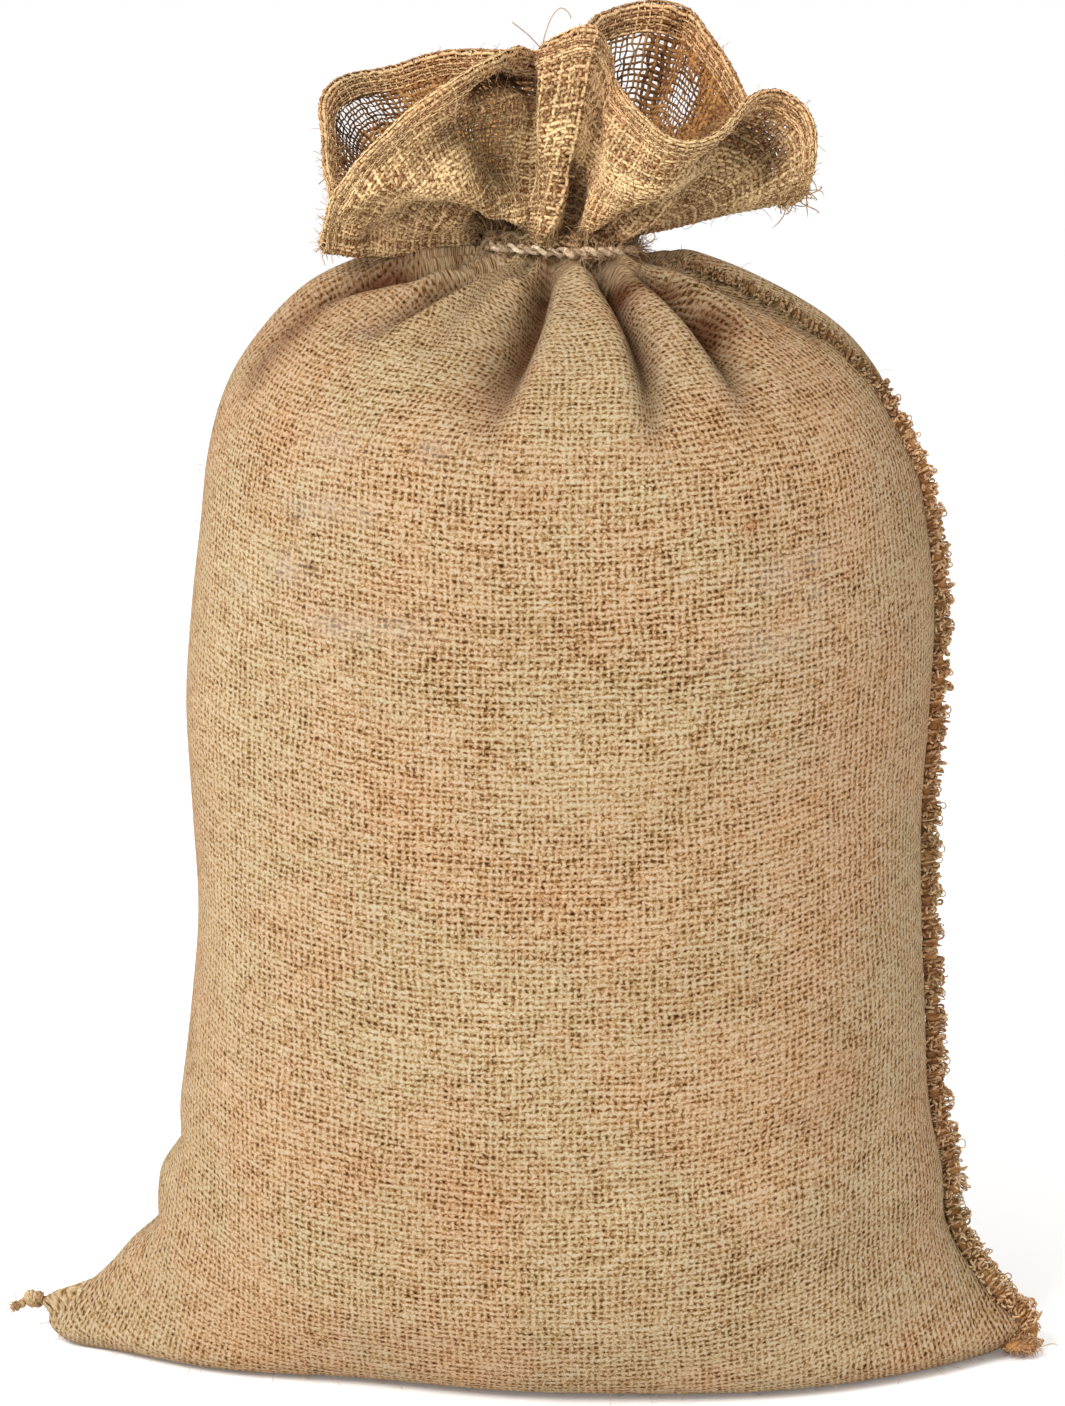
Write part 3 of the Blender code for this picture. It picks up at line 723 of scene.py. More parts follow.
def burlap_finish():
    """Jute burlap, plain woven at about 58 by 65 yarns to 250 mm: thin pale yarns with gaps between them,
    some open and dark, some closed by fluff, with painted shade in the yarns' low parts and in the gaps. It
    follows the cloth's own metres. The layers say where the fill shows pale, where the jute is foxed (on the
    far left and right sides that foxing is painted shade), where the weave is open, and where painted shade
    lies in creases, beside folds, in the groove by the sewn edge and round the tie."""
    material, tree, shader = new_finish("jute burlap, plain woven", 0.95, sheen=0.02)
    cloth, stains_and_shade, wear_and_shade = (add(tree, "UVMap", uv_map=layer) for layer in ("cloth", "stains_and_shade", "wear_and_shade"))
    pale, foxed_and_shaded = add(tree, "SeparateXYZ", (stains_and_shade,)).outputs[:2]
    openness, shaded = add(tree, "SeparateXYZ", (wear_and_shade,)).outputs[:2]
    cells = add(tree, "VectorMath", (cloth, (1 / WARP_PITCH, 1 / WEFT_PITCH, 0)), "MULTIPLY")
    weave = cells
    for scale, detail, reach in WANDERS:
        wander = add(tree, "TexNoise", {"Vector": cells, "Scale": scale, "Detail": detail})
        weave = add(tree, "VectorMath", (wander.outputs["Color"], (reach, reach, 0), weave), "MULTIPLY_ADD")
    cell = add(tree, "VectorMath", (weave,), "FLOOR")
    within = add(tree, "VectorMath", (weave,), "FRACTION")
    middle = add(tree, "VectorMath", (within, (0.5, 0.5, 0)), "SUBTRACT")
    aside = add(tree, "VectorMath", (middle,), "ABSOLUTE")
    number, side, where = (add(tree, "SeparateXYZ", (vector,)).outputs for vector in (cell, aside, weave))
    # Near the sewn edge the warps stand higher and the wefts lie deeper.
    run = add(tree, "SeparateXYZ", (cloth,))
    near, beyond = (add(tree, "MapRange", {"Value": run, "From Min": start, "From Max": end},
                        interpolation_type="SMOOTHSTEP") for start, end in FLANK)
    left = add(tree, "MapRange", {"Value": run, "From Min": 0.18, "From Max": 0.04, "To Max": 0.5})
    flank = add(tree, "Math", (near, beyond, left), "MULTIPLY_ADD")
    tops = []
    for yarn in YARNS:
        # Each yarn's own thickness, and slubs along it.
        mine, over = number[yarn.axis], where[yarn.other]
        seed = add(tree, "Math", (mine, yarn.seed), "ADD")
        own = add(tree, "TexWhiteNoise", {"W": seed}, noise_dimensions="1D")
        row = add(tree, "Math", (mine, YARN_APART), "MULTIPLY")
        along = add(tree, "Math", (over, yarn.slubs), "MULTIPLY")
        slub_place = add(tree, "CombineXYZ", (row, along, yarn.offset))
        slub = add(tree, "TexNoise", {"Vector": slub_place, "Scale": 1.0, "Detail": 3.0})
        least = add(tree, "Math", (slub, SLUB_WIDE, yarn.thin), "MULTIPLY_ADD")
        half = add(tree, "Math", (own, yarn.own, least), "MULTIPLY_ADD")
        off = add(tree, "Math", (side[yarn.axis], half), "DIVIDE")
        steep = add(tree, "Math", (off, RIDGE_POWER), "POWER")
        ridge = add(tree, "Math", (RIDGE_EDGE, steep), "POWER")
        # Over one yarn and under the next.
        crossing = add(tree, "Math", (over, mine), "ADD")
        phase = add(tree, "Math", (crossing, yarn.shift), "ADD")
        turn = add(tree, "Math", (phase, pi), "MULTIPLY")
        bob = add(tree, "Math", (turn,), "SINE")
        high = add(tree, "Math", (flank, yarn.change, yarn.high), "MULTIPLY_ADD")
        stout = add(tree, "Math", (slub, SLUB_HIGH, high), "MULTIPLY_ADD")
        height = add(tree, "Math", (bob, BOB_HIGH, stout), "MULTIPLY_ADD")
        tops.append(add(tree, "Math", (ridge, height), "MULTIPLY"))
    top = add(tree, "Math", tops, "MAXIMUM")
    # Each gap between four crossings is open or closed in its own degree.
    shifted = add(tree, "VectorMath", (weave, (0.5, 0.5, 0)), "ADD")
    gap = add(tree, "VectorMath", (shifted,), "FLOOR")
    chance = add(tree, "TexWhiteNoise", {"Vector": gap}, noise_dimensions="3D")
    patch = add(tree, "TexNoise", {"Vector": cells, "Scale": 0.085, "Detail": 3.0})
    by_chance = add(tree, "Math", (chance, CHANCE, openness), "MULTIPLY_ADD")
    looser = add(tree, "Math", (patch, PATCHES, by_chance), "MULTIPLY_ADD")
    open_gap = add(tree, "MapRange", {"Value": looser, "From Min": 0.72, "From Max": 1.52,
                                      "To Min": 0.40, "To Max": -0.20})
    # Along one row a weft has slipped, where the weave is very open.
    gap_row = add(tree, "SeparateXYZ", (gap,)).outputs[1]
    in_row = add(tree, "Math", (gap_row, OPEN_ROW, 0.5), "COMPARE")
    very_open = add(tree, "Math", (openness, SLIPPED), "GREATER_THAN")
    missing = add(tree, "Math", (in_row, very_open), "MULTIPLY")
    deeper = add(tree, "Math", (missing, 0.50), "MULTIPLY")
    floor_tone = add(tree, "Math", (open_gap, deeper), "SUBTRACT")
    level = add(tree, "Mix", {0: top, 2: floor_tone, 3: 1.0})
    # Fluff: fine fibres lying every way, finer than the yarns.
    fluff = add(tree, "TexNoise", {"Vector": cells, "Scale": 2.6, "Detail": 5.0, "Roughness": 0.72,
                                   "Distortion": 0.6})
    sunk = add(tree, "Math", (level, FLUFF_LEVEL), "SUBTRACT")
    lifted = add(tree, "Math", (fluff, FLUFF, sunk), "MULTIPLY_ADD")
    # Painted shade in the weave's low parts and gaps, deeper the more open a gap, with the yarns' own tone on
    # their tops.
    shade = set_ramp(add(tree, "ValToRGB", (lifted,)), BURLAP_TONES_AND_GAP_SHADE)
    deep = add(tree, "MapRange", {"Value": lifted, "To Min": 1.0, "To Max": 0.25})
    through = add(tree, "Math", (pale, deep), "MULTIPLY")
    # Painted shade: the crease layer darkens the cloth in creases, beside folds, in the groove and round the
    # tie.
    dress(tree, shader, old_jute_tint(tree),
          ((1.0, shade, "MULTIPLY"), (foxed_and_shaded, linear(FOXED_AND_SHADE), "MULTIPLY"),
           (through, linear(FILL_SHOWING), "MIX"), (shaded, linear(CREASE_SHADE_TINT), "MULTIPLY")),
          lifted, 0.0022, 0.9)
    return material


def yarn_finish(name, dark, light, between=WHITE, inner=WHITE):
    """Spun jute: hairy, dull, uneven along its length. One yarn a whole number of the first mark, metres
    along it the second. A yarn is pale on its outer side, and has the colours between and inner as painted
    shade where it sinks between its neighbours and behind."""
    material, tree, shader = new_finish(name, 0.9, sheen=0.12)
    strand, metres = add(tree, "SeparateXYZ", (add(tree, "UVMap", uv_map="cloth"),)).outputs[:2]
    own = add(tree, "TexWhiteNoise", {"W": add(tree, "Math", (strand,), "FLOOR")},
              noise_dimensions="1D")
    # Fibres wound round the yarn at a slant, about 2 mm apart along it.
    round_it = add(tree, "Math", (strand, 3.0), "MULTIPLY")
    along = add(tree, "Math", (metres, 420.0), "MULTIPLY")
    slant = add(tree, "CombineXYZ", (round_it, along))
    fibre = add(tree, "TexNoise", {"Vector": slant, "Scale": 1.0, "Detail": 3.0, "Roughness": 0.7})
    part = add(tree, "Math", (fibre, 0.80), "MULTIPLY")
    mixed = add(tree, "Math", (own, 0.20, part), "MULTIPLY_ADD")
    shade = set_ramp(add(tree, "ValToRGB", (mixed,)), ((0.36, dark), (0.62, light)))
    # Painted shade round each yarn: its sides and its inner side darker than its outer side.
    turned = add(tree, "Math", (strand,), "FRACT")
    turn = add(tree, "Math", (turned, 2 * pi / 0.9), "MULTIPLY")
    facing_out = add(tree, "Math", (turn,), "SINE")
    outward = add(tree, "Math", (facing_out, 0.5, 0.5), "MULTIPLY_ADD")
    sunk = set_ramp(add(tree, "ValToRGB", (outward,)), ((0.0, inner), (0.5, between), (1.0, WHITE)))
    # Each point's darkening: painted shade on most pieces, dust on the corner thread's end.
    darkening = add(tree, "SeparateXYZ", (add(tree, "UVMap", uv_map="wear_and_shade"),))
    dress(tree, shader, old_jute_tint(tree),
          ((1.0, shade, "MULTIPLY"), (1.0, sunk, "MULTIPLY"), (darkening, linear(YARN_SHADE_AND_DUST), "MULTIPLY")),
          fibre, 0.0008, 0.7)
    return material


# ---------------------------------------------------------------- the sack's surface
def level_points(shares, places):
    """Points of the sack's plain surface, rows at places between the sections."""
    level = spline(SECTIONS, places)[:, None, :]
    angle = pi + 2 * pi * shares[None, :]
    along, across = np.cos(angle), np.sin(angle)
    x = along * np.where(along > 0, level[..., 2], level[..., 1])
    depth = np.where(across > 0, level[..., 4], level[..., 3])
    y = np.sign(across) * depth * np.abs(across) ** level[..., 5]
    z = np.maximum(level[..., 0] - level[..., 6] * np.abs(across), 0)
    return np.stack([x, y, z], axis=-1)


def gathers(shares, drop, girth):
    """Depth of the furrows and how densely cloth hides in them, over the surface."""
    depth = np.zeros_like(drop)
    hidden = np.zeros_like(drop)
    for furrow in FURROWS:
        t = np.clip(drop / furrow.reach, 0, 1)
        place = (furrow.tie * (1 - t) * (1 - 2 * t) + furrow.middle * 4 * t * (1 - t)
                 + furrow.end * t * (2 * t - 1))
        metres = ((shares[None, :] - place + 0.5) % 1.0 - 0.5) * girth
        grow = 0.30 + 0.70 * t
        flank = np.where(metres < 0, furrow.left, furrow.right) * grow
        part = (fade(drop, furrow.reach * 0.45, furrow.reach)
                * (1 - fade(drop, furrow.start, furrow.start + 0.035)))
        depth += furrow.depth * part * hump(metres, 0, flank, 1.5)
        width = 0.6 * (furrow.left + furrow.right) * grow
        hidden += furrow.cloth * part * hump(metres, 0, 0.6 * width) / width
    return depth, hidden


def sack_surface():
    """The plain shape of the cloth from the bottom seam over the shoulders to above the
    tie, finer near the tie, with each row's place between the sections."""
    shares = np.linspace(0, 1, BODY_COLUMNS + 1)
    fine = np.linspace(0, FOOT_ROW, 2601)
    profile = level_points(np.array([0.0, 0.125, FRONT, RIGHT]), fine)
    reach = reach_along(profile).mean(axis=1)
    tie = np.interp(TIE_ROW, fine, reach)
    step = np.where(np.abs(reach - tie) < 0.07, 0.0021, 0.0037)
    ticks = np.concatenate([[0], np.cumsum(np.diff(reach) / step[1:])])
    count = int(ticks[-1])
    places = np.interp(np.arange(count + 1) * ticks[-1] / count, ticks, fine)
    plain = level_points(shares, places)
    base = np.repeat(plain[0][None] * np.array([1, 1, 0]), BASE_ROWS, axis=0)
    base[..., 1] *= np.linspace(0, 1, BASE_ROWS + 1)[:-1, None]
    return shares, np.concatenate([np.zeros(BASE_ROWS), places]), np.concatenate([base, plain])


def foot_shape(points, plain, shares, places):
    """Moves the points of the foot out and in, as it stands on the floor."""
    height = plain[..., 2]
    # The front draws in under the belly, most left of its middle.
    drawn = sum(depth * hump(shares, share, wide) for share, wide, depth in FOOT_DRAWN)
    points[..., 1] += drawn * np.clip(-plain[..., 1] / 0.08, 0, 1) * fade(height, 0.0, 0.075)
    # The left corner is squarer than the rest of the foot.
    beside = np.abs(wave(shares, 1)) / 0.22
    squarer = CORNER_SQUARE * beside * np.exp(0.5 - 0.5 * beside ** 2) * (np.cos(2 * pi * shares) > 0)
    points[..., 1] += np.sign(plain[..., 1]) * squarer * fade(height, 0.005, 0.060)
    # Its tip stands out as a pinched ear above the floor.
    ear = hump(height, EAR_HEIGHT, 0.0060, 4) * (places > 1)[:, None]
    points[..., 0] -= EAR_OUT * ear * hump(wave(shares, 0.5), 0, 0.06)


def cloth_marks(shares, plain, hidden, below, up):
    """Places on the cloth in its own metres: round it from the middle of the front or of
    the back, with the spare cloth in the furrows, and up it, with the wefts' bow."""
    across = reach_along(plain, axis=1)
    girth = across[:, -1:]
    steps = np.diff(across, axis=1)
    beside = np.abs(np.cos(2 * pi * shares))[None, 1:] ** 3
    lower = 1 - fade(below.mean(axis=1, keepdims=True), 0.03, 0.19)
    evenly = (0.5 + 6.0 * lower) * (0.3 + 2.2 * beside) / girth
    spare = ((hidden[:, 1:] + hidden[:, :-1]) / 2 + evenly) * steps
    spare *= np.maximum(CLOTH_ROUND - girth, 0) / spare.sum(axis=1, keepdims=True)
    round_it = np.concatenate([np.zeros((len(plain), 1)), np.cumsum(steps + spare, axis=1)], axis=1)
    front, half, back = (int(place * BODY_COLUMNS) for place in (FRONT, RIGHT, BACK))
    marks = np.empty(plain.shape[:2] + (2,))
    marks[:, :half, 0] = round_it[:, :half] - round_it[:, front:front + 1] + CLOTH_ROUND * FRONT
    marks[:, half:, 0] = round_it[:, half:] - round_it[:, back:back + 1] + CLOTH_ROUND * BACK
    bow = WEFT_BOW * np.abs(np.cos(2 * pi * (shares - FRONT))) ** 3
    marks[..., 1] = up - bow * (1 - fade(up, 0.0, 0.12)) * fade(up, 0.72, 0.86)
    return marks


def make_sack_cloth(finish):
    """The body, from the bottom seam to a plug inside the neck."""
    shares, places, plain = sack_surface()
    reach = reach_along(plain)
    tie_row = int(np.argmin(np.abs(places - TIE_ROW)))
    drop = reach[tie_row] - reach
    below = np.maximum(drop, 0)
    depth, hidden = gathers(shares, below, reach_along(plain, axis=1)[:, -1:])
    # Small pleats at the tie, crinkles below them, swells and the groove at the seam.
    pleat = PLEAT_DEPTH * fade(np.abs(drop), 0.004, 0.045) * np.cos(2 * pi * NECK_PLEATS * shares)
    crinkle = wave(shares, 21, 0.6) + 0.7 * wave(shares, 34, 2.1)
    pleat += CRINKLE * crinkle * fade(below, 0.03, 0.13) * (1 - fade(below, 0.004, 0.03))
    swell = sum(one.out * hump(shares, one.share, one.wide) * hump(plain[..., 2], one.height, one.tall)
                for one in SWELLS)
    groove = hump(shares, RIGHT, 0.005) * fade(places, 12, 17)[:, None]
    out = pleat - depth - GROOVE_DEPTH * groove + swell * (places > 2)[:, None]
    out[places <= 1.0] = 0
    points = plain + out[..., None] * round_normals(plain)
    lift = SHOULDER_LIFT * (0.80 + 0.20 * np.cos(2 * pi * shares)) * fade(below, 0.015, 0.12)
    start = 0.003 + 0.005 * np.abs(wave(shares, 1))
    points[..., 2] += lift * (1 - fade(below, 0.001, start)) * (drop > 0)
    foot_shape(points, plain, shares, places)
    points[:, -1] = points[:, 0]
    points[..., 2] = np.maximum(points[..., 2], 0)

    marks = cloth_marks(shares, plain, hidden, below, CLOTH_UP * reach / reach[tie_row])
    tone_marks = {kind: sum(mark.amount * hump(marks[..., 0], mark.round, mark.wide)
                      * hump(marks[..., 1], mark.up, mark.tall) for mark in rows)
            for kind, rows in MARKS.items()}
    # Painted shade: darker in the furrows, beside the shoulders' folds, in the groove by the seam and round
    # the tie.
    darkening = (CREASE_SHADE * depth + tone_marks["painted_shade"] + GROOVE_SHADE * groove
            + TIE_SHADE * fade(np.abs(drop), 0.002, 0.012))
    stains_and_shade = np.stack([tone_marks["pale"], tone_marks["foxed_and_shaded"]], axis=-1)
    wear_and_shade = np.stack([0.5 + tone_marks["open"] - tone_marks["closed"], np.clip(darkening, 0, MOST_SHADE)], axis=-1)

    # Above the tie the neck's inside closes in a puckered plug under the open mouth.
    centre = points[-1].mean(axis=0)
    plug = [points[-1] + (centre + np.array([0, 0, rise]) - points[-1]) * inward
            for inward, rise in PLUG]
    plug_marks = [marks[-1] + np.array([0, 0.006 * (ring + 1)]) for ring in range(len(plug))]
    points = np.concatenate([points, np.array(plug)])
    marks = np.concatenate([marks, np.array(plug_marks)])
    stains_and_shade, wear_and_shade = (np.concatenate([layer, np.repeat(layer[-1:], len(plug), axis=0)])
                    for layer in (stains_and_shade, wear_and_shade))
    return shaped_grid("sack_body", points, marks, finish, layers=(("stains_and_shade", stains_and_shade), ("wear_and_shade", wear_and_shade)))


# ---------------------------------------------------------------- the mouth
def rim_points(shares):
    """Points of the mouth's rim, spaced as cloth from the left tip round."""
    ring = RIM_FRONT + RIM_BACK
    looped = [ring[-1], *ring, *ring[:2]]
    fine = spline(looped, 1 + np.linspace(0, len(ring), len(ring) * 16 + 1))
    middle = 16 * (len(RIM_FRONT) - 1)
    points = np.empty((len(shares), 3))
    for run, first in ((fine[:middle + 1], 0.0), (fine[middle:], RIGHT)):
        reach = reach_along(run) / reach_along(run)[-1]
        at = (shares - first) / RIGHT
        here = (at >= 0) & (at <= 1)
        points[here] = picked(at[here], reach, run)
    return points


def mouth_surface(shares, rises):
    """The mouth's cloth: rows at rises from 0 at the tie to 1 at the rim."""
    tie, foot = level_points(shares, np.array([float(TIE_ROW), float(FOOT_ROW)]))
    tip = rim_points(shares)
    neck_part = 0.012 / MOUTH_UP
    belly = foot + np.array([BELLY_OUT, BELLY_OUT, BELLY_UP]) * (tip - foot)
    sides = hump((shares + 0.5) % 1.0, 0.5, 0.05) - 0.2 * hump(shares, RIGHT, 0.05)
    sag = MOUTH_SAG * sides[:, None] * np.array([0, 0, 1])
    rows = []
    for rise in rises:
        if rise < neck_part:
            rows.append(tie + (foot - tie) * rise / neck_part)
        else:
            t = (rise - neck_part) / (1 - neck_part)
            rows.append(foot * (1 - t) ** 2 + belly * 2 * t * (1 - t) + tip * t ** 2
                        - sag * sin(pi * t) ** 0.6)
    points = np.array(rows)
    # Narrow pleats at the neck open into the wide ruffles of the rim.
    rise = np.asarray(rises)[:, None]
    small = PLEAT_DEPTH * np.cos(2 * pi * NECK_PLEATS * shares) * fade(rise, 0.15, 0.6)
    ruffle = (wave(shares, 9, 1.0) + 0.6 * wave(shares, 23, 2.0)) * (1 - fade(rise, 0.1, 0.6))
    out = small + RUFFLE * ruffle + mouth_folds(points, shares, rise)[0]
    return points + out[..., None] * grid_normals(points)


def mouth_folds(points, shares, rise):
    """How far the mouth's folds stand out at every place, and how much painted shade lies in the hollows."""
    girth = reach_along(points, axis=1)[:, -1:] / (shares[-1] - shares[0])
    out, darkening = 0.0, 0.0
    for fold in MOUTH_FOLDS:
        far = np.inf
        for (share, start), (next_share, end) in zip(fold.line, fold.line[1:]):
            run, climb = (next_share - share) * girth, (end - start) * MOUTH_UP
            away, above = (shares[None, :] - share) * girth, (rise - start) * MOUTH_UP
            part = np.clip((away * run + above * climb) / (run ** 2 + climb ** 2), 0, 1)
            far = np.minimum(far, np.hypot(away - part * run, above - part * climb))
        one = fold.out * hump(far, 0, fold.wide) * (1 - fade(rise, 0.0, 0.07))
        out = out + one
        darkening = darkening + np.maximum(-one, 0) * MOUTH_HOLLOW_SHADE
    return out, darkening


def woven(name, cloth, cover, finish, darkening, warp_part=1.0):
    """Plain weave of single yarns over a closed round of cloth (rows up, columns round).
    cover is the share of the spacing that each yarn fills, and warp_part how thick the
    warps are beside the wefts."""
    normals = round_normals(cloth)
    rows, columns = cloth.shape[:2]
    over = np.where((np.arange(rows)[:, None] + np.arange(columns)[None, :]) % 2, 1.0, -1.0)
    spread, height = (np.linalg.norm(np.gradient(cloth, axis=axis), axis=2) for axis in (1, 0))
    # Yarns stray a little from their rows, so the holes are uneven.
    stray = 0.16 * dice.standard_normal((rows, columns, 2))
    stray[:, -1] = stray[:, 0]
    cloth = (cloth + stray[..., :1] * np.gradient(cloth, axis=1)
             + stray[..., 1:] * np.gradient(cloth, axis=0))
    slub = 1 + 0.16 * dice.standard_normal((rows, columns))
    warp_slub = slub * (1 + 0.14 * dice.standard_normal((1, columns)))
    weft_slub = slub * (1 + 0.14 * dice.standard_normal((rows, 1)))
    bob = (YARN_BOB * over)[..., None] * normals
    warp_girth = np.clip(0.5 * warp_part * cover * spread * warp_slub, YARN_LEAST, YARN_MOST)
    weft_girth = np.clip(0.5 * cover * height * weft_slub, YARN_LEAST, YARN_MOST)
    weft_girth[:, -1] = weft_girth[:, 0]
    warps = strands(name + "_warps", (cloth + bob)[:, :-1].transpose(1, 0, 2), warp_girth[:, :-1].T,
                    finish, flatten=YARN_FLATTEN, up=normals[:, :-1].transpose(1, 0, 2),
                    darkening=darkening[:, :-1].T)
    wefts = strands(name + "_wefts", cloth - bob, weft_girth, finish,
                    flatten=YARN_FLATTEN, up=normals, first_mark=columns, darkening=darkening)
    return warps, wefts


def make_mouth(finish):
    """The open mouth, from the tie to the rim, thin where the light comes through."""
    shares = np.arange(MOUTH_WARPS + 1) / MOUTH_WARPS
    rises = np.linspace(0, 0.985, MOUTH_WEFTS + 1)[:, None]
    cloth = mouth_surface(shares, rises[:, 0])
    # Painted shade: darker in the folds' hollows, in the pockets behind the thin places and deep by the neck.
    _, darkening = mouth_folds(cloth, shares, rises)
    cover = np.full(cloth.shape[:2], 0.90)
    for thin in THIN_PLACES:
        away = (shares - thin.share + 0.5) % 1.0 - 0.5
        here = hump(away, 0, thin.wide, 4) * hump(rises, thin.rise, thin.tall, 4)
        cover -= thin.less * here
        darkening = darkening + thin.dark * here
    darkening = np.clip(darkening + NECK_SHADE * fade(rises, 0.02, 0.20), 0, 0.95)
    return woven("mouth_cloth", cloth, cover, finish, darkening)


def make_hem(finish):
    """The rim's hem: the cloth turned over to the inside, two layers, yarns close."""
    shares = np.arange(MOUTH_WARPS + 1) / MOUTH_WARPS
    rises = np.linspace(1 - HEM_DEPTH / MOUTH_UP, 1.0, HEM_ROWS)
    flat = mouth_surface(shares, rises)
    _, darkening = mouth_folds(flat, shares, rises[:, None])
    # Up the outside, over the edge and down the inside.
    turn = np.linspace(-1, 1, 2 * HEM_ROWS + 1)
    pick = np.clip(np.rint((1 - np.abs(turn)) * HEM_ROWS).astype(int), 0, HEM_ROWS - 1)
    bend = pi / 2 * np.minimum(np.abs(turn) * 3, 1)
    apart = -HEM_THICKNESS * np.sign(turn) * np.sin(bend) * (0.55 + 0.45 * np.cos(pi * (np.abs(turn) - 0.35)))
    uneven = 1 + 0.22 * wave(shares, 41, 1.3) * wave(shares, 17)
    cloth = (flat[pick] + (apart[:, None] * uneven)[..., None] * round_normals(flat)[pick]
             + (HEM_THICKNESS * np.cos(bend))[:, None, None] * unit(np.gradient(flat, axis=0))[pick])
    cloth[:, -1] = cloth[:, 0]
    # The hem takes half the painted shade of the cloth it lies on.
    return join("mouth_hem", woven("mouth_hem", cloth, np.full(cloth.shape[:2], 1.05), finish,
                                   np.clip(darkening[pick] * 0.5, 0, 0.8), warp_part=0.35))


# ---------------------------------------------------------------- twine and threads
def twisted(path, plies, apart, pitch, up):
    """Paths of plies wound round a path, a whole turn in each pitch."""
    across = unit(np.cross(unit(np.gradient(path, axis=0)), up))
    above = np.cross(across, unit(np.gradient(path, axis=0)))
    turn = 2 * pi * reach_along(path) / pitch
    return np.array([path + apart * (np.cos(turn + 2 * pi * ply / plies)[:, None] * across
                                     + np.sin(turn + 2 * pi * ply / plies)[:, None] * above)
                     for ply in range(plies)])


def tapered(count, length, thick, tip=3):
    """Half widths of strands that close to a point at both ends."""
    girth = np.full((count, length), thick)
    for step in range(tip):
        girth[:, step] *= (step / tip) ** 0.5
        girth[:, -1 - step] *= (step / tip) ** 0.5
    return girth


def make_twine(finish):
    """Two-ply jute twine, once round the neck, its end lapped over its start."""
    neck = SECTIONS[TIE_ROW]
    route = smooth_run(TWINE_ROUTE, 700)
    angle = pi + 2 * pi * route[:, 0]
    along, across = np.cos(angle), np.sin(angle)
    out = unit(np.stack([along / (neck.left + neck.right), across / (neck.front + neck.back), 0 * angle],
                        axis=1))
    seat = PLEAT_DEPTH + SEAT_GAP + TWINE / 2
    path = np.stack([along * np.where(along > 0, neck.right, neck.left),
                     across * np.where(across > 0, neck.back, neck.front),
                     neck.height + route[:, 1]], axis=1) + (seat + route[:, 2:] * TWINE_LAP) * out
    reach = reach_along(path)
    path = picked(np.linspace(0, reach[-1], 420), reach, path)
    plies = twisted(path, 2, TWINE * TWINE_PLY, TWINE_PITCH, (0.0, 0.0, 1.0))
    lumps = np.convolve(dice.standard_normal(plies.shape[1] + 8), np.ones(9) / 9, "valid")
    girths = tapered(2, plies.shape[1], TWINE * TWINE_PLY, tip=4) * (1 + 0.35 * lumps)
    return strands("neck_twine", plies, girths, finish, sides=10)


def make_tail(finish):
    """The end of the sewing thread at the left corner: two plies, and the knots on it."""
    tip = max(section.left for section in SECTIONS) + SEAT_GAP
    path = smooth_run([(-tip - turn.out, turn.y, turn.height) for turn in TAIL], 90)
    up = (0.0, 1.0, 0.2)
    plies = twisted(path, 2, 0.6 * TAIL_THREAD / 2, THREAD_PITCH, up)
    thread = strands("corner_tail_thread", plies, tapered(2, len(path), 0.75 * TAIL_THREAD / 2), finish,
                     sides=8, darkening=TAIL_DUST)
    reach = reach_along(path)
    along = unit(np.gradient(path, axis=0))
    steps = np.linspace(-1, 1, 60)
    wraps = []
    for place, turns, wide in TAIL_KNOTS:
        at = place + 0.62 * wide * steps
        centre, way = picked(at, reach, path), picked(at, reach, along)
        across = unit(np.cross(way, up))
        angle = 2 * pi * turns * steps
        bulge = wide * np.sqrt(1 - 0.75 * steps ** 2)
        wraps.append(centre + (bulge * np.cos(angle))[:, None] * across
                     + (bulge * np.sin(angle))[:, None] * np.cross(across, way))
    knots = strands("corner_tail_knots", np.array(wraps), tapered(len(wraps), 60, KNOT_THICK), finish,
                    sides=8, darkening=TAIL_DUST)
    return thread, knots, path


def seam_line(count):
    """Foot of the sewn edge, up the right side and over the front of the shoulder to the
    tie, with its outward directions and how wide it stands."""
    places = np.linspace(0.6, TIE_ROW - 0.5, 500)
    route = np.array(SEAM_ROUTE)
    shares, widths = (np.interp(places, route[:, 0], route[:, k]) for k in (1, 2))
    line, beside = (np.array([level_points(np.array([share + step]), np.array([place]))[0, 0]
                              for share, place in zip(shares, places)]) for step in (0.0, 0.004))
    out = unit(np.cross(beside - line, unit(np.gradient(line, axis=0))))
    reach = reach_along(line)
    evenly = np.linspace(0, reach[-1], count)
    return (picked(evenly, reach, line), unit(picked(evenly, reach, out)),
            np.interp(evenly, reach, widths))


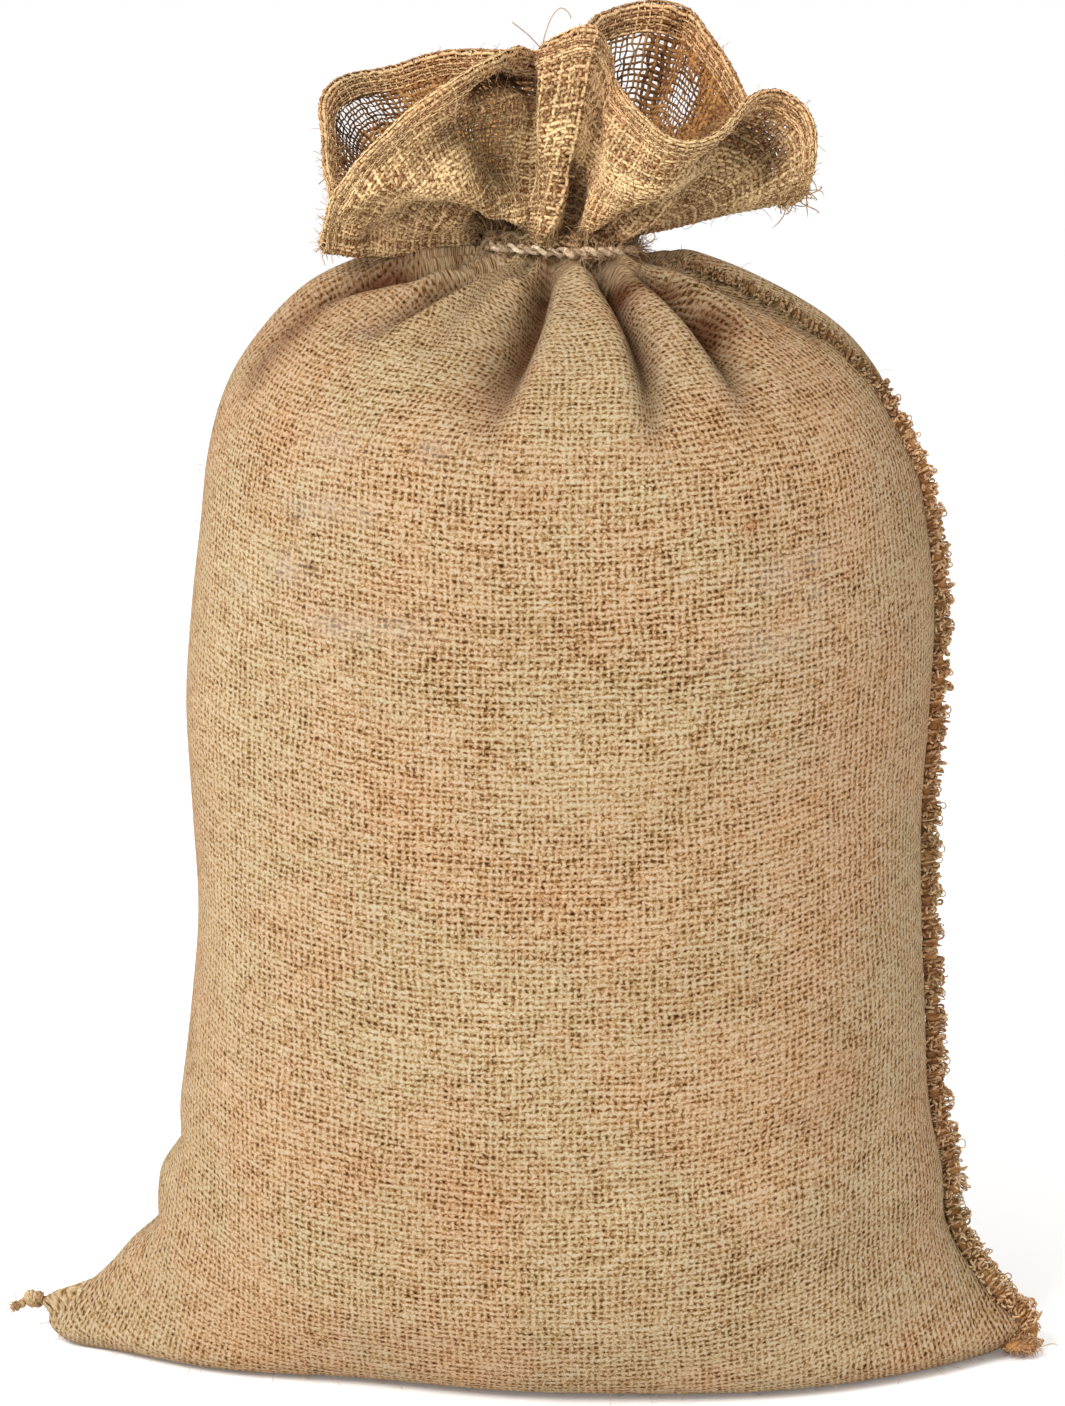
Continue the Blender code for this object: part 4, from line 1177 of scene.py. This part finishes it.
def make_side_seam(cloth_finish, thread):
    """The sewn edge: both cloth edges standing up together, overcast with a loopy yarn."""
    foot, out, wide = seam_line(SEAM_STEPS)
    along = unit(np.gradient(foot, axis=0))
    aside = unit(np.cross(along, out))
    share = np.linspace(0, 1, SEAM_STEPS)
    wide = wide * (1 + 0.10 * wave(share, 31, 2) + 0.08 * wave(share, 67))
    lean = 0.0014 * wave(share, 9) + 0.0009 * wave(share, 23, 1)
    middle = foot + (wide / 2 - 0.0012)[:, None] * out + lean[:, None] * aside
    # Painted shade where the sewn edge runs over the shoulder.
    painted_shade = SEAM_SHADE * (1 - fade(middle[:, 2], 0.56, 0.62))
    edge = strands("side_seam_edge", middle[None], tapered(1, SEAM_STEPS, 1.0) * 0.42 * wide,
                   cloth_finish, sides=12, flatten=SEAM_FLAT, up=aside[None], darkening=painted_shade)

    def on_seam(at, across, side):
        """Points on the edge's faces, with the directions out and aside."""
        place, outward, sideways = (picked(at, share, values) for values in (middle, out, aside))
        half = np.interp(at, share, wide / 2)
        swell = 0.32 * half * side * np.sqrt(np.maximum(1 - across ** 2, 0))
        return place + (half * across)[:, None] * outward + swell[:, None] * sideways, outward, sideways

    # Overcast stitches: a slanting turn of yarn every few millimetres.
    turns = int(reach_along(middle)[-1] / OVERCAST_PITCH)
    steps = np.linspace(0, 2 * pi, 15)
    start = (np.arange(turns) + 0.3 * dice.standard_normal(turns)) / turns
    at = np.clip(start[:, None] + 1.3 / turns * steps[None, :] / (2 * pi), 0, 1)
    rise, swing = (np.tile(values, turns) for values in (np.cos(steps), np.sin(steps)))
    place, outward, sideways = on_seam(at.ravel(), rise, np.sign(swing))
    stitches = (place + 0.0007 * (rise[:, None] * outward + swing[:, None] * sideways)).reshape(turns, 15, 3)
    stitches[..., 2] = np.maximum(stitches[..., 2], LEAST_ABOVE_FLOOR)
    girths = tapered(turns, 15, STITCH_THICK) * dice.uniform(0.8, 1.4, (turns, 1))
    binding = strands("side_seam_overcast", stitches, girths, thread, sides=5,
                      darkening=np.interp(at, share, painted_shade))

    # Curls of the yarn over both faces, and fine loops that stand off the edge: how many,
    # least and most size, where across the edge they start, and half width.
    curls = []
    for number, low, high, first, thick in ((SEAM_CURLS, 0.0030, 0.0060, -1.0, 0.00078),
                                            (SEAM_LOOPS, 0.0030, 0.0070, 0.7, 0.00042)):
        tuft = (dice.integers(0, SEAM_TUFTS, number) + 0.5) / SEAM_TUFTS
        at = np.where(dice.random(number) < 0.55, tuft + dice.normal(0, 0.0042, number), dice.random(number))
        at, across = np.clip(at, 0, 1), dice.uniform(first, 1.0, number)
        side = np.where(dice.random(number) < 0.62, -1.0, 1.0)
        size = dice.uniform(low, high, number) * np.clip(np.interp(at, share, wide) / 0.012, 0.45, 1)
        root, outs, sides = on_seam(at, across, side)
        lift = unit(outs * (0.25 + across)[:, None] + sides * (side * (1.1 - across))[:, None]
                    + dice.normal(0, 0.35, (number, 3)))
        sweep = unit(np.cross(lift, dice.standard_normal((number, 3))))
        beside = np.cross(lift, sweep)
        t = np.linspace(0, 1, 10)[:, None]
        rise = np.sin(pi * t) ** 0.8
        swing = -0.42 * np.cos(pi * t) * (0.4 + np.sin(pi * t))
        wind = dice.uniform(-1, 1, (number, 1, 1)) * 0.30 * np.sin(2 * pi * t)
        paths = root[:, None] - 0.0005 * lift[:, None] + size[:, None, None] * (
            rise * lift[:, None] + swing * sweep[:, None] + wind * beside[:, None])
        curls.append((paths, thick, beside[:, None], np.interp(at, share, painted_shade)[:, None]))
    pieces = [strands("side_seam_curls", paths, tapered(*paths.shape[:2], thick, tip=1), thread, up=plane,
                      darkening=tone_marks) for paths, thick, plane, tone_marks in curls]
    return edge, binding, join("side_seam_curls", pieces)


def make_tongue(cloth_finish, thread):
    """The end of the sewn edge, lying curled on the floor before the right corner, frayed."""
    turns = smooth_run(TONGUE, 40)
    wide = turns[:, 3] * np.sin(pi * np.linspace(0, 1, 40)) ** 0.3
    tongue = strands("corner_tongue", turns[None, :, :3], wide[None], cloth_finish, sides=14,
                     flatten=SEAM_FLAT, up=(0.0, 0.0, 1.0))
    count = 360
    roots, outward = roots_on(tongue, count, lambda at: 1 + 3 * (at[:, 1] < -0.020))
    lifts = unit(0.7 * outward + np.array([0.7, -0.5, 0.0]) + dice.normal(0, 0.5, (count, 3)))
    lengths = 0.0042 * dice.uniform(0.4, 1.6, count)
    # One thread's end stands off to the right.
    roots[0], lifts[0], lengths[0] = (0.306, -0.010, 0.006), (0.98, -0.20, 0.0), 0.013
    return tongue, hairs("corner_tongue_fray", roots, lifts, lengths, 0.00036, thread, curl=0.4)


def roots_on(piece, count, wanted):
    """Random places on a piece with their outward directions, where wanted(places) is high."""
    faces = piece.data.polygons
    centres, normals, areas = (np.empty(len(faces) * size) for size in (3, 3, 1))
    for name, values in (("center", centres), ("normal", normals), ("area", areas)):
        faces.foreach_get(name, values)
    centres, normals = centres.reshape(-1, 3), normals.reshape(-1, 3)
    chance = areas * wanted(centres)
    pick = dice.choice(len(faces), count, p=chance / chance.sum())
    return centres[pick], normals[pick]


def hairs(name, roots, lifts, lengths, thick, finish, curl=0.5, steps=6):
    """Loose fibres that spring from roots, along lifts and then aside."""
    count = len(roots)
    aside = unit(np.cross(lifts, dice.standard_normal((count, 3))))
    other = unit(np.cross(lifts, aside))
    t = np.linspace(0, 1, steps)[None, :, None]
    bend = (dice.normal(0, curl, (count, 1, 1)), dice.normal(0, curl, (count, 1, 1)))
    paths = (roots[:, None] + lengths[:, None, None] * (
        t * lifts[:, None] + bend[0] * t ** 2 * aside[:, None]
        + bend[1] * np.sin(2.5 * t) * t * other[:, None]))
    paths[..., 2] = np.maximum(paths[..., 2], 0.0003)
    return strands(name, paths, tapered(count, steps, thick, tip=1), finish, sides=3)


def make_strays(finish):
    """Single threads that have come loose from the mouth's rim."""
    paths = np.array([smooth_run(route, 40) for route in STRAYS])
    return strands("rim_strays", paths, tapered(*paths.shape[:2], STRAY_THICK / 2, tip=1), finish)


# ---------------------------------------------------------------- studio
def set_studio():
    """White floor and backdrop, and a broad soft key from the upper left."""
    build = bmesh.new()
    bmesh.ops.create_grid(build, x_segments=1, y_segments=1, size=6.0)
    for corner in build.verts:
        corner.co.z = -0.0005
    mesh = mesh_from(build, "studio_floor")
    paper, tree, shader = new_finish("matt white paper", 1.0)
    grain = add(tree, "TexNoise", {"Scale": 900.0})
    white = set_ramp(add(tree, "ValToRGB", (grain,)), ((0.0, "#fbfbfb"), (1.0, WHITE)))
    tree.links.new(white.outputs["Color"], shader.inputs["Base Color"])
    shader.inputs["Emission Color"].default_value = (1, 1, 1, 1)
    shader.inputs["Emission Strength"].default_value = 0.10
    mesh.materials.append(paper)
    in_scene("studio_floor", mesh)
    world = bpy.data.worlds.new("white studio")
    world.use_nodes = True
    world.node_tree.nodes["Background"].inputs["Color"].default_value = (1, 1, 1, 1)
    world.node_tree.nodes["Background"].inputs["Strength"].default_value = 1.0
    bpy.context.scene.world = world
    lamp = bpy.data.lights.new("key", "AREA")
    lamp.size = KEY_SIZE
    lamp.energy = KEY_POWER
    light = in_scene("key", lamp)
    light.location = KEY_PLACE
    light.rotation_euler = facing(KEY_PLACE, (0, 0, 0.4))
    bpy.context.scene.view_settings.view_transform = "Standard"


# ---------------------------------------------------------------- the build
def stand_in(pieces, node):
    """Hides the node of the model whose place the pieces take."""
    for piece in pieces:
        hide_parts(node)


set_camera()
set_studio()
burlap = burlap_finish()
# The last two colours of a yarn finish are its painted shade between its neighbours and on its inner side.
mouth_yarn = yarn_finish("jute yarn, spun for burlap", "#744820", "#ffeeca", "#c8aa86", "#ccb69a")
twine_finish = yarn_finish("jute twine, two-ply", "#7c6650", "#fff8ec")
thread_finish = yarn_finish("jute sewing thread", "#a07a52", "#fff2dc", "#e8dccb", "#e8dccb")
edge_finish = yarn_finish("jute cloth edge, frayed", "#8a6440", "#cca678")

tail, tail_knots, tail_path = make_tail(thread_finish)
stand_in((tail, tail_knots), "corner_tail")

body = make_sack_cloth(burlap)
stand_in((body,), "sack_cloth")
hem = make_hem(mouth_yarn)
warps, wefts = make_mouth(mouth_yarn)
stand_in((warps, wefts), "sack_cloth")

twine = make_twine(twine_finish)
stand_in((twine,), "neck_tie")
stand_in(make_side_seam(edge_finish, thread_finish), "side_seam")
stand_in(make_tongue(edge_finish, thread_finish), "side_seam")

# Loose fibres: what they grow on, how many, their length, half width and curl, and where
# they are dense.
for name, piece, count, length, thick, curl, wanted in (
        ("mouth_fibres", wefts, 2300, 0.006, 0.00016, 0.5, lambda at: at[:, 2] > 0.70),
        ("rim_fibres", hem, 900, 0.005, 0.00017, 0.5, lambda at: 1 + 5 * (at[:, 2] < 0.74)),
        ("rim_fray", hem, 150, 0.0036, 0.00042, 1.4,
         lambda at: (at[:, 2] < 0.735) * (at[:, 1] < 0.01) * (0.15 + (at[:, 0] > 0.11))),
        ("tail_fibres", tail, 50, 0.0030, 0.00030, 0.5, lambda at: at[:, 0] < -0.334),
        ("twine_fibres", twine, 700, 0.008, 0.00017, 0.6,
         lambda at: (at[:, 1] < 0.02) * (1 + 2 * (at[:, 0] > 0.02))),
        ("body_fibres", body, 1500, 0.007, 0.00014, 0.5, lambda at: 1 + 6 * (at[:, 2] < 0.03))):
    places, outward = roots_on(piece, count, wanted)
    loose = hairs(name, places, unit(outward + dice.normal(0, 0.8, (count, 3))),
                  length * dice.uniform(0.4, 1.6, count), thick, thread_finish, curl=curl)
make_strays(thread_finish)
